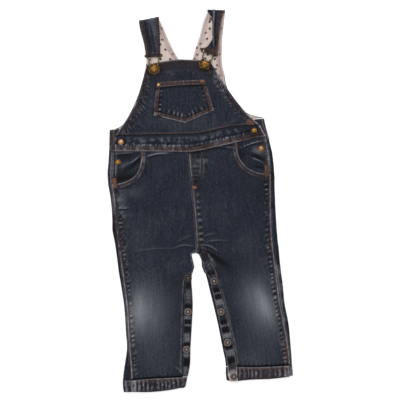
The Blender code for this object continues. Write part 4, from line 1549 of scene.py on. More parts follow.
@dataclass
class WrapEnd:
    """How a back piece's edge is folded round the outer side of the garment, row by row."""

    inner: Array
    fold: Array
    seam: Array

    @classmethod
    def read(cls, node: str, sign: float, spacing: float) -> "WrapEnd":
        """Find the edges by the solid's walls.

        Args:
            node: The solid's node.
            sign: The direction from this side's outer edge to the middle.
            spacing: The distance between two rows.

        Returns:
            The edges, each a row of points (x, y) from its -Y end.
        """
        points, triangles = node_mesh(node)
        across, level = facing(points, triangles)[:, 0] * sign, points[triangles].mean(axis=1)[:, 2]
        top = points[:, 2].max()
        walls = (((across > 0.2) & (level < 0.4 * top), 0.0, False), (across < -0.7, top / 2, True),
                 ((across > 0.7) & (level > 0.62 * top), top, True))
        lines = []
        for wall, height, outer in walls:
            place = points[np.unique(triangles[wall])]
            place = place[(np.abs(place[:, 2] - height) < 0.1) & ((place[:, 0] * sign < 0.0) | (not outer))]
            lines.append(Line(place[np.argsort(place[:, 1])][:, :2]) if len(place) > 1 else lines[-1])
        count = round(lines[1].length / spacing) + 1
        return cls(*(line.at(np.linspace(0.0, line.length, count)) for line in lines))

    def path(self, row: int, thickness: float, sign: float, flange: int = 4) -> list[Place]:
        """Middle points from the floor, round the fold, to the seam.

        Args:
            row: Which row.
            thickness: The cloth's thickness.
            sign: The direction from this side's outer edge to the middle.
            flange: How many points lie between the fold and the seam.

        Returns:
            The points.
        """
        outer = thickness + SEAM_GAP / 2
        radius = outer - thickness / 2
        fold_x, y = self.fold[row]
        centre = fold_x + sign * outer
        points = []
        for turn in np.linspace(-90.0, 90.0, 9):
            c, s = math.cos(math.radians(turn)), math.sin(math.radians(turn))
            points.append((centre - sign * radius * c, y, outer + radius * s))
        for share in np.linspace(0.0, 1.0, flange + 1)[1:]:
            points.append((centre + (self.seam[row][0] - centre) * share, y, outer + radius))
        return points


@dataclass
class BackLeg:
    """One back leg: the panel folded round the outer side, its hem and its snap strip."""

    side: Side
    bulges: Rows             # where the fold stands out, how far along, how far out
    floor_step: float = 3.2       # spacing across the hidden side
    row_step: float = 2.4

    def wrapped(self, node: str, thickness: float, tuck: float = 0.0) -> Strip:
        """Lay a piece flat on the floor and round the outer side.

        Args:
            node: Its solid.
            thickness: The cloth's thickness.
            tuck: How far its lower end runs on into the hem.

        Returns:
            The cloth.
        """
        sign = self.side.sign
        ends = WrapEnd.read(node, sign, self.row_step)
        for middle, half, out in self.bulges:
            ends.fold[:, 0] -= sign * out * swell(ends.fold[:, 1], middle, half)
        rows = []
        for row, inner in enumerate(ends.inner):
            path = np.array(ends.path(row, thickness, sign))
            start = np.array([inner[0], inner[1], thickness / 2])
            width = abs(np.median(ends.inner[:, 0]) - np.median(ends.fold[:, 0]))
            count = max(4, round(width / self.floor_step))
            flat = start + (path[0] - start) * np.linspace(0.0, 1.0, count + 1)[:-1, None]
            rows.append(np.vstack([flat, path]))
        grid = np.array(rows)
        grid[0, :, 1] -= tuck
        return Strip(grid if sign > 0.0 else grid[:, ::-1], thickness)

    def build(self, room: Workroom) -> None:
        """Make the panel, the hem and the snap strip.

        Args:
            room: The workroom.
        """
        name = self.side.value
        panel = self.wrapped(f"back_{name}", DENIM, 1.4)
        outer, fold = (panel.column(k) for k in self.side.pick((-1, -9), (0, 8)))
        panel.lumps(0.25, 0.10, self.side.pick(31, 47))
        panel.stripe(outer, 0.9, 0.9, tone=0.25, seed=3)
        panel.band(outer.part(0.0, 0.7), 1.8, 9.0, tone=-0.3)
        if self.side is Side.LEFT:
            panel.band(outer.part(0.46, 0.7), 1.0, 9.0, tone=-0.45, rust=0.3)
            panel.band(outer.part(0.02, 0.26), 1.0, 9.0, tone=0.15)
            for middle in (4.8, 8.8):
                panel.stripe(fold.part(0.72, 1.0), middle, 0.8, tone=0.48)
            panel.stripe(fold, 0.0, 1.3, tone=0.2, seed=4)
        else:
            panel.band(outer.part(0.72, 1.0), 1.0, 9.0, tone=-0.4)
            panel.band(outer.part(0.22, 0.42), 1.0, 9.0, tone=0.4)
        width, length = panel.size
        for k in range(5):
            start = (width * (0.12 - 0.5 + 0.16 * k), length * (0.2 + 0.13 * k))
            panel.crease(start, (start[0] + width * 0.3, start[1] + 9.0 - 5.0 * k), 3.0, -0.35, 0.2, 4.0)
        room.sheet(panel, f"back_{name}")
        node = f"placket_back_{name}"
        strip = Panel(node, DENIM, crown=0.0, gap=0.0, rise=self.side.pick(1.35, -1.6))
        strip.lumps(0.1, 0.1, 5)
        strip.pucker(strip.outline.edge((0.3, -1.0), (0.6, 1.0)), 3.0, 3.0, 9.0, 0.2, 0.3, 8)
        room.sheet(strip, node)
        node = f"hem_back_{name}"
        hem = self.wrapped(node, TURNED)
        hem.lumps(0.1, 0.08, 6)
        length = hem.size[1]
        hem.tone += 0.4
        hem.pucker(hem.crossing(length / 2), 0.0, length * 0.45, 6.5, 0.22, 0.6, 12)
        hem.stripe(hem.column(self.side.pick(-1, 0)), 14.0, 2.6, tone=0.35, rust=0.5)
        hem.stripe(hem.crossing(0.5), 0.0, 0.8, tone=0.3)
        room.sheet(hem, node)


@dataclass
class BackWaist:
    """The back waistband round both sides, and the bodice with its printed facing."""

    floor_step: float = 3.2
    row_step: float = 1.7

    def band(self) -> Strip:
        """Lay the waistband on the floor and round both sides.

        Returns:
            The waistband.
        """
        left, right = (WrapEnd.read("back_waistband", side.sign, self.row_step) for side in Side)
        rows, steps = [], 0
        for row in range(min(len(left.fold), len(right.fold))):
            first = np.array(left.path(row, TURNED, 1.0))
            last = np.array(right.path(row, TURNED, -1.0))
            steps = steps or round(float(np.linalg.norm(last[0] - first[0])) / self.floor_step)
            floor = first[0] + (last[0] - first[0]) * np.linspace(0.0, 1.0, steps + 1)[1:-1, None]
            rows.append(np.vstack([first[::-1], floor, last]))
        grid = np.array(rows)
        return Strip(grid[:, ::-1], TURNED)

    def build(self, room: Workroom) -> None:
        """Make the waistband, the bodice and the facing.

        Args:
            room: The workroom.
        """
        band = self.band()
        band.lumps(0.12, 0.1, 14)
        low, high = band.crossing(0.0), band.crossing(band.size[1])
        band.pucker(low, 6.0, 4.0, 6.5, 0.25, 0.35, 15)
        for edge in (low, high):
            band.stripe(edge, 0.8, 0.8, tone=0.4)
        for column in (0, -1):
            band.stripe(band.column(column), 0.9, 0.9, tone=0.35)
            band.band(band.column(column).part(0.6, 1.0), 0.0, 16.0, tone=-0.1, rust=0.45)
        room.sheet(band, "back_waistband")
        bodice = Panel("back_bodice", DENIM, crown=0.0, gap=0.0)
        bodice.lumps(0.0, 0.1, 16)
        room.sheet(bodice, "back_bodice")
        facing_ = Panel("back_facing", COTTON, crown=0.0)
        facing_.lumps(0.12, 0.1, 17)
        for start, stop in (((-1.0, 0.2), (-1.0, -1.0)), ((1.0, 0.0), (1.0, 1.0))):
            edge = facing_.outline.edge(start, stop)
            facing_.stripe(edge, 3.2, 0.75, height=-0.15, tone=-0.3, rust=0.4)
        room.sheet(facing_, "back_facing", finish=Finish.PRINT)


@dataclass
class Strap:
    """One strap: denim folded over at the shoulder, with its printed facing inside the fold."""

    side: Side
    across: int = 30
    row_step: float = 2.24
    run_rows: int = 24       # sections in the lower and in the upper run
    fold_rows: int = 11      # sections round the shoulder fold
    narrowed: Place = (243.0, 8.0, 2.6)      # the right one's edge comes in: where, half how long, how far
    same: float = 0.05       # how near two measures count as the same
    nudge: float = 0.01      # keeps a section off the very end
    fold_turn: float = 75.0  # degrees that the fold's sections reach either side of level
    apart: float = 0.3       # least height of the upper run over the fold's middle
    arch: float = 1.3        # how much more the cloth arches than its solid

    def edges(self, node: str) -> Array:
        """The left and right edges of a folded ribbon's middle surface and its arch.

        Args:
            node: Its solid.

        Returns:
            A row for each section: the left point, the right point and how far the middle stands up.
        """
        points, triangles = node_mesh(node)
        ends = points[np.vstack([triangles[:, :2], triangles[:, 1:]])]
        ends = ends[np.abs(ends[:, 1, 1] - ends[:, 0, 1]) > 1e-4]
        far = points[np.argmax(points[:, 1])]
        fold = points[np.abs(points[:, 2] - far[2]) < self.same]
        thick = points[points[:, 1] < points[:, 1].min() + 2 * self.same][:, 2]
        thickness, low = np.ptp(thick), thick.mean()
        radius = far[2] - low
        tips = [max(fold[np.abs(fold[:, 0] - x) < 2 * self.same].tolist(), key=lambda tip: tip[1])
                for x in (fold[:, 0].min(), fold[:, 0].max())]
        bends = np.array([tip[1] for tip in tips]) - thickness / 2 - radius

        def section(left_y: float, right_y: float, way: float) -> list[float]:
            """The row between two places on the edges, in the lower or the upper run.

            Args:
                left_y: Where the row meets the left edge.
                right_y: Where it meets the right edge.
                way: -1 in the lower run, 1 in the upper one.

            Returns:
                The row.
            """
            row = []
            for y, side in ((left_y, -1.0), (right_y, 1.0)):
                share = (y - ends[:, 0, 1]) / (ends[:, 1, 1] - ends[:, 0, 1])
                cut = ends[:, 0] + share[:, None] * (ends[:, 1] - ends[:, 0])
                cut = cut[(share >= 0.0) & (share <= 1.0)]
                cut = cut[(cut[:, 2] - far[2]) * way > 0.0]
                edge = cut[cut[:, 0] * side > (cut[:, 0] * side).max() - self.same]
                row += [edge[:, 0].mean(), y, (edge[:, 2].min() + edge[:, 2].max()) / 2]
            return [*row, cut[:, 2].max() - thickness / 2 - row[5]]

        start, last = points[:, 1].min() + self.nudge, bends - self.nudge
        rows = [section(*pair, -1.0) for pair in np.linspace((start, start), last, self.run_rows)]
        for turn in np.radians(np.linspace(-self.fold_turn, self.fold_turn, self.fold_rows)):
            forward, level = radius * math.cos(turn), far[2] + radius * math.sin(turn)
            rows.append([tips[0][0], bends[0] + forward, level, tips[1][0], bends[1] + forward, level, 0.0])
        upper = points[points[:, 2] > far[2] + self.apart]
        middle = (upper[:, 0].min() + upper[:, 0].max()) / 2
        stops = [upper[(upper[:, 0] - middle) * side > 0.0][:, 1].min() + self.nudge for side in (-1.0, 1.0)]
        rows += [section(*pair, 1.0) for pair in np.linspace(last, stops, self.run_rows)]
        found = np.array(rows)
        if self.side is Side.RIGHT:
            upper_run = found[self.run_rows + self.fold_rows:]
            middle, half, inwards = self.narrowed
            upper_run[:, 0] += inwards * swell(upper_run[:, 1], middle, half)
        return found

    def ribbon(self, rows: Array, thickness: float, outside: bool) -> Strip:
        """The cloth between two edges.

        Args:
            rows: The edges and the arch.
            thickness: The cloth's thickness.
            outside: Whether its outer face is the one that lies down at first.

        Returns:
            The cloth.
        """
        fine = through(rows, self.row_step)
        share = np.linspace(0.0, 1.0, self.across + 1)[None, :, None]
        grid = fine[:, None, :3] * (1.0 - share) + fine[:, None, 3:6] * share
        grid[..., 2] += fine[:, 6:7] * np.sin(math.pi * share[..., 0]) * self.arch
        return Strip(grid[:, ::-1] if outside else grid, thickness)

    def build(self, room: Workroom) -> None:
        """Make the denim and the facing.

        Args:
            room: The workroom.
        """
        name = self.side.value
        rows = self.edges(f"strap_{name}")
        denim = self.ribbon(rows, DENIM, True)
        turned = float(denim.y[np.argmax(denim.grid[:, 0, 1]), 0])
        end = float(denim.y[-1, 0])
        self.wear(denim, turned, end)
        print_rows = self.edges(f"strap_facing_{name}")
        low_run = slice(self.run_rows)
        print_rows[low_run, 0], print_rows[low_run, 3] = rows[low_run, 0] + 0.2, rows[low_run, 3] - 0.2
        print_rows[0, [1, 4]] -= 1.4
        facing_ = self.ribbon(print_rows, COTTON, False)
        facing_.lumps(0.08, 0.12, 21)
        # painted shade along the facing's outer edge, where it turns under the denim
        width, tone = self.side.pick((9.0, -0.14), (6.5, -0.3))
        facing_.band(facing_.column(-1), 0.0, width, tone=tone, soft=2.0)
        for column in (0, -1):
            edge = facing_.column(column)
            # painted shade along each edge, with a thread tint
            facing_.band(edge, 0.0, 7.5, tone=-0.1, rust=0.18, soft=1.5)
            facing_.stripe(edge, 0.3, 0.7, tone=0.3, broken=0.2)
            facing_.stripe(edge, 3.2, 0.75, height=-0.15, tone=-0.34, rust=0.5)
            facing_.stripe(edge, 6.6, 0.7, height=-0.15, tone=-0.26, rust=0.45)
        under = room.cloth(facing_, f"strap_facing_{name}", Finish.PRINT)
        strap = room.cloth(denim, f"strap_{name}")
        thread = Thread()
        seams = self.side.pick(((0, 3.2), (-1, 2.4), (-1, 6.4)), ((0, 3.0),))
        for seed, (column, inset) in enumerate(seams, 30):
            thread.run(denim.track(column, inset, turned + 1.0, end - 1.0), 0.9, seed)
        stitches = room.thread(thread, f"strap_{name}_stitches")
        lay_claim(facing_)
        lay_claim(denim)

    def wear(self, denim: Strip, turned: float, end: float) -> None:
        """Mark the upper run, between the shoulder fold and the buckle, with wear and with painted highlight
        and shade.

        Args:
            denim: The strap.
            turned: Where the fold is, along the cloth.
            end: Where the cloth ends.
        """
        denim.lumps(0.08, 0.12, 22)
        left, right = denim.column(-1), denim.column(0)
        if self.side is Side.LEFT:
            for edge, width, seed in ((left, 7.0, 22), (right, 4.5, 23)):
                denim.band(edge, 0.0, width, height=0.2, tone=-0.1, rust=0.32)
                denim.pucker(edge, width * 0.5, 2.6, 4.2, 0.2, 0.3, seed)
                denim.pucker(edge, width * 0.5, 2.6, 2.7, 0.05, 0.25, seed + 5, lean=0.5)
            denim.stripe(left, 0.4, 0.6, tone=0.4)
            denim.tone += 0.08
            denim.band(right, 4.0, 15.0, tone=0.1)
            # a painted highlight down the middle, and troughs of painted shade beside it
            denim.creases((
                (4.5, turned + 2.0, 1.0, end - 6.0, 1.4, 0.6, 1.0),
                (8.0, turned - 3.0, 3.0, end + 6.0, 2.0, -1.0, -1.3),
                (-1.0, turned + 8.0, -3.0, end - 2.0, 1.6, -0.4, -0.6)))
        else:
            upper = (denim.y[:, 0] > turned + 1.0) & (denim.y[:, 0] < end - 13.0)
            inset = 20.6 - denim.grid[upper, -1, 0]
            ridge = Line(left.points[upper] - np.column_stack([inset, 0.0 * inset]))
            # painted shade along the curled left edge, a painted highlight on the raised ridge and painted
            # shade in the crease beside it
            denim.band(left, 0.0, 1.4, tone=-0.4)
            denim.stripe(ridge, 0.0, 1.5, height=0.8, tone=0.5, broken=0.5)
            denim.stripe(ridge, 3.2, 1.4, height=-0.4, tone=-0.5, broken=0.2)
            denim.band(right, 0.0, 6.5, tone=-0.25, rust=0.5)
            denim.stripe(right, 0.6, 0.9, tone=0.45)
            denim.pucker(right, 3.0, 2.4, 3.4, 0.1, 0.5, 24)
            denim.grit(right, 4.0, 3.5, 0.35, 28)
            denim.patch((6.0, end - 4.0), (9.0, 8.0), 0.0, tone=-0.2)
            denim.rust += 0.6 * swell(denim.y, end - 3.0, 6.0)
        denim.stripe(denim.crossing(turned, -1), 0.0, 2.2, tone=0.25)
        denim.stripe(denim.crossing(end, -1), 2.2, 2.2, tone=-0.4, rust=0.4)


@dataclass
class PocketBacks:
    """The pieces that show in the scoop pockets."""

    def build(self, room: Workroom) -> None:
        """Make both.

        Args:
            room: The workroom.
        """
        left = Panel("hip_left", crown=0.3)
        left.lumps(0.2, 0.1, 51)
        # painted shade inside the pocket: darker all over, with dark troughs and ovals of shadow by the
        # mouth
        left.tone -= 0.1
        left.creases((
            (-104, 55, -89.5, 66.5, 1.7, 0.8, 0.9), (-88, 62, -119, 41, 3.4, -1, -0.9, 1.5),
            (-130, 65.5, -100, 67, 2.6, -0.4, -0.4), (-128, 69.6, -99, 71, 1.4, 0.4, 0.6)))
        left.patches((
            (-112, 52, 12, 7, 30, 0.3, 0, 0.5), (-106, 35, 13, 6, 30, -0.6), (-120, 33, 10, 6, 15, -0.9),
            (-112, 63, 14, 3.4, 8, -0.5)))
        side = left.outline.edge((-1.0, 1.0), (-1.0, -1.0))
        left.stripe(side, 1.2, 0.8, height=0.3, tone=0.9)
        left.stripe(side, 5.8, 0.8, height=0.2, tone=0.8)
        left.band(side, 2.0, 5.0, tone=-0.1, rust=0.15)
        room.sheet(left, "hip_left")
        right = Panel("hip_right", crown=0.3)
        right.lumps(0.2, 0.1, 52)
        # painted shade inside the pocket: darker all over, with dark troughs and ovals of shadow by the
        # mouth
        right.tone -= 0.1
        right.creases((
            (60, 78, 97, 89.5, 1.3, 0.7, 0.8, 1.5), (75, 69, 97, 58.5, 2.4, -0.9, -1.3, 1),
            (77, 63, 98, 54, 1.4, 0.6, 0.4, 1), (80, 51.5, 99, 47, 2.4, -0.6, -0.9)))
        fold = Line(np.array([(60.0, 78.0), (75.0, 86.0), (97.0, 89.5)]))
        right.pucker(fold, 0.0, 2.6, 6.5, 0.3, 0.35, 54)
        right.patches((
            (86, 74, 10, 7, -20, 0.42, 0, 0.5), (62, 69, 6, 8, 0, -0.7)))
        outer = right.outline.edge((0.2, -1.0), (1.0, 0.9))
        right.stripe(outer, 1.2, 0.9, height=0.3, tone=1.2)
        right.band(outer, 2.2, 6.5, tone=0.05, rust=0.4)
        right.pucker(outer, 2.8, 1.6, 4.6, 0.2, 0.5, 53)
        room.sheet(right, "hip_right")


class FrontLeg:
    """One front leg: the panel, its hem and its snap strip."""

    side: Side
    seed: int
    grain: float             # degrees that the cloth's length leans
    lean: float              # how far the snap strip's puckers slope
    hem_look: tuple[float, float, float, float]      # tint, tone, depth of the puckers, tone of its end
    hem_row: float           # how far its stitches lie below the hem's top
    strip_rise: float        # how far the snap strip's top is raised
    strip_tone: float        # of the snap strip's edges
    ways: tuple[tuple[str, Way, Way], ...]           # each edge by the directions of its ends
    strip_ways: tuple[Edge, Edge]
    hem_ways: Edge
    creases: Rows
    patches: Rows
    blocks: Rows             # painted shade and painted highlight of the folds where the snap strip is drawn up: where, half its length, tone

    def shape(self, panel: Panel, seams: dict[str, Line]) -> None:
        """Mark the seams and folds that this leg alone has."""
        raise NotImplementedError

    def build(self, room: Workroom) -> None:
        """Make the panel with its stitching, and the hem and the snap strip.

        Args:
            room: The workroom.
        """
        name = self.side.value
        panel = Panel(f"front_{name}", crown=0.9, grain=self.grain)
        seams = {title: panel.outline.edge(start, stop) for title, start, stop in self.ways}
        panel.lumps(0.35, 0.12, self.seed)
        self.edges(panel, seams)
        self.shape(panel, seams)
        panel.creases(self.creases)
        panel.patches(self.patches)
        room.sheet(panel, f"front_{name}", self.rows(seams), self.tacks())
        self.hem(room)
        self.placket(room)

    def roped(self, side: Line) -> Line:
        """The part of the side seam with roping beside it."""
        return side

    def edges(self, panel: Panel, seams: dict[str, Line]) -> None:
        """Mark the seams that both legs have.

        Args:
            panel: The leg's panel.
            seams: The panel's edges by name.
        """
        mouth, side, hem, inner = (seams[title] for title in ("mouth", "side", "hem", "inner"))
        panel.stripe(mouth, 0.7, 0.7, height=0.45, tone=0.8, seed=self.seed)
        panel.stripe(mouth, 5.4, 0.7, height=0.3, tone=0.32, broken=0.6, seed=self.seed + 1)
        panel.band(mouth, 1.4, 4.6, tone=-0.1, rust=0.3)
        panel.stripe(mouth, 7.4, 0.9, tone=-0.35, seed=self.seed + 5)
        panel.pucker(mouth, 3.2, 2.4, 3.1, 0.1, 0.2, self.seed + 6)
        panel.stripe(side, 0.7, 0.9, height=0.45, tone=1.15, rust=0.3, seed=self.seed + 2)
        panel.band(side, 1.8, 4.4, tone=-0.3, rust=0.5)
        panel.pucker(self.roped(side), 6.3, 2.1, 6.7, 0.6, 0.85, self.seed + 3, lean=0.25)
        panel.grit(side, 6.0, 5.0, 0.3, self.seed + 7)
        panel.grit(mouth, 5.0, 4.0, 0.25, self.seed + 8)
        # painted shadow along the hem's top, where the leg bulges over it
        panel.stripe(hem, 0.4, 1.3, height=-0.3, tone=-1.1, broken=0.1)
        panel.pucker(hem, 3.4, 2.0, 6.6, 0.2, 0.3, self.seed + 4)
        panel.band(hem, 0.0, 3.0, tone=-0.5)
        panel.stripe(inner, 1.2, 1.1, height=0.2, tone=0.35, broken=0.6, seed=self.seed + 9)
        panel.stripe(seams["top"], 0.5, 1.5, height=-0.2)

    def rows(self, seams: dict[str, Line]) -> Seams:
        """The rows of stitches that both legs have.

        Args:
            seams: The panel's edges by name.

        Returns:
            Each row by its line, how faded it is and its seed.
        """
        mouth, side = seams["mouth"], seams["side"]
        return ((mouth.moved(2.2), 0.85, self.seed), (mouth.moved(6.6), 0.9, self.seed + 1),
                (side.moved(2.4), 1.15, self.seed + 2))

    def tacks(self) -> tuple[tuple, ...]:
        """The panel's bar tacks."""
        return ()

    def hem(self, room: Workroom) -> None:
        """Make the hem.

        Args:
            room: The workroom.
        """
        node = f"hem_front_{self.side.value}"
        band = Panel(node, TURNED, crown=0.25)
        low = band.outline.edge((-1.0, -1.0), (1.0, -1.0))
        high = band.outline.edge((1.0, 1.0), (-1.0, 1.0))
        above = high.at(np.linspace(high.length, 0, 30))
        middle = Line((low.at(np.linspace(0, low.length, 30)) + above) / 2)
        rust, tone, depth, end = self.hem_look
        band.lumps(0.15, 0.15, self.seed + 10)
        band.rust += rust
        band.tone += tone
        band.pucker(middle, 0.0, 6.5, 6.6, 0.45, depth, self.seed + 11, lean=0.12)
        band.pucker(middle, 0.0, 6.5, 3.7, 0.15, 0.4 * depth, self.seed + 13, lean=-0.1)
        band.grit(middle, 0.0, 8.0, 0.25, self.seed + 14)
        band.stripe(high, 0.5, 0.8, height=0.25, tone=0.5, rust=0.3)
        band.band(high, 1.0, 3.6, rust=0.4)
        band.stripe(low, 0.8, 1.0, tone=-0.35)
        band.band(band.outline.edge(*self.hem_ways), 0.6, 7.6, height=0.2, tone=end, rust=0.4)
        row = high.moved(self.hem_row).part(0.015, 0.985)
        room.sheet(band, node, ((row, 0.75, self.seed + 12),))

    def tab(self, strip: Panel) -> None:
        """Mark the strip's lower end."""

    def placket(self, room: Workroom) -> None:
        """Make the snap strip, drawn up between its snaps.

        Args:
            room: The workroom.
        """
        node = f"placket_front_{self.side.value}"
        strip = Panel(node, TURNED, crown=0.3, grain=self.grain, rise=self.strip_rise)
        strip.lumps(0.1, 0.12, self.seed + 20)
        strip.tone += 0.16 * cloud(strip.x, strip.y, 2.3, self.seed + 25)
        left, right = (strip.outline.edge(*ways) for ways in self.strip_ways)
        body = ease(strip.rim_distance, 0.8, 2.2)
        # painted shade in the sunken folds and painted highlight on the raised ones, between the snaps
        for place, half, tone in self.blocks:
            hump = ease(half + 0.8 - np.abs(strip.y - strip.x * self.lean - place), 0.0, 1.6)
            strip.tone += tone * hump * body
            strip.height += 0.35 * tone * hump * body
        for edge in (left, right):
            strip.stripe(edge, 0.9, 0.8, height=0.2, tone=self.strip_tone, seed=self.seed + 21)
            strip.stripe(edge, 2.6, 0.7, tone=-0.25, rust=0.3, seed=self.seed + 22)
        # painted shade round each snap
        for snap in sorted(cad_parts):
            if snap.startswith(f"leg_snap_{self.side.value}"):
                strip.patch(middle_of(snap), (6.2, 6.2), 0.0, tone=-0.5)
        self.tab(strip)
        seams = ((self.side.pick(left, right).moved(2.0), 0.95, self.seed + 22),)
        room.sheet(strip, node, seams)


@dataclass
class LeftLeg(FrontLeg):
    """The front leg on the left."""

    side: Side = Side.LEFT
    seed: int = 100
    grain: float = 2.0
    lean: float = 0.0
    hem_look: tuple[float, float, float, float] = (0.1, 0.1, 0.8, 0.85)
    hem_row: float = 4.6
    strip_rise: float = 1.2
    strip_tone: float = 0.1
    ways: tuple[tuple[str, Way, Way], ...] = (
        ("mouth", (-0.3, 1.0), (-1.0, 0.1)), ("side", (-1.0, 0.1), (-1.0, -1.0)),
        ("hem", (-1.0, -1.0), (1.0, -1.0)), ("inner", (1.0, -1.0), (1.0, 0.0)),
        ("centre", (1.0, 0.0), (1.0, 1.0)), ("top", (1.0, 1.0), (-0.3, 1.0)))
    strip_ways: tuple[Edge, Edge] = (((-0.3, 1.0), (-1.0, -1.0)), ((0.4, -1.0), (1.0, 1.0)))
    hem_ways: Edge = ((-1.0, 1.0), (-1.0, -1.0))
    blocks: Rows = (
        (-104, 6, -0.25), (-114, 4, -0.5), (-121, 3, 0.1), (-127.5, 3.5, -0.8), (-141, 7, 0.25),
        (-152, 4, 0.15), (-159, 3, -0.8), (-176.5, 3, 0.5), (-182, 3, -0.8), (-187.5, 1.3, 0.4),
        (-194, 3.4, -0.8), (-207, 7, 0.4), (-216, 2.6, -0.8), (-232, 3, 0.45), (-243, 5, -0.9),
        (-257, 7, 0.4))
    # folds: a painted highlight on each crest with a painted shadow below it, and painted shade in each
    # trough
    creases: Rows = (
        (-84, 64, -46, 70.5, 1.3, 0.7, 0.85, 2), (-125, -12.5, -107, -12, 1.2, 0.6, 0.5),
        (-122, -18, -113, -28, 2, 0.4, 0.3), (-99, -77, -38, -72.5, 1.3, 0.6, 0.22, 2),
        (-40, -72, -9, -69.5, 1.3, 0.8, 0.3, 3), (-34, -62, -12, -52, 2, 0.4, 0.15),
        (-86, 10, -84, -60, 10, 0.8, 0.03), (-60, -215, -66, -250, 7, 0.8, 0.05),
        (-44, -100, -50, -190, 7, 0.7, 0.04), (-39, -249, -26, -261, 1.8, 0.5, 0.28))
    patches: Rows = (
        (-86, 62, 4, 7, 0, 0.35), (-119, -8, 8, 26, 0, 0.2), (-92, -164, 10, 27, 0, 0, 0.54, 0.8),
        (-79, -167, 27, 40, 0, 0, 0.43), (-66, -235, 36, 40, 0, 0, 0.08),
        (-90, -62, 22, 24, 0, 0, 0.06), (-102, 12, 10, 8, 0, 0.14))

    def roped(self, side: Line) -> Line:
        """The part of the side seam with roping beside it."""
        return side.part(0.14, 1.0)

    def shape(self, panel: Panel, seams: dict[str, Line]) -> None:
        """Mark the seams and folds that this leg alone has.

        Args:
            panel: The leg's panel.
            seams: The panel's edges by name.
        """
        side = seams["side"]
        panel.stripe(seams["centre"], 0.7, 0.8, height=0.3, tone=0.25)
        panel.pucker(side.part(0.1, 0.3), 8.0, 5.0, 7.0, 0.2, 0.3, 115, lean=0.8)
        panel.stripe(side.part(0.62, 0.84), 4.5, 4.0, tone=0.3)
        panel.stripe(side.part(0.12, 0.4), 0.7, 1.4, tone=-0.75)


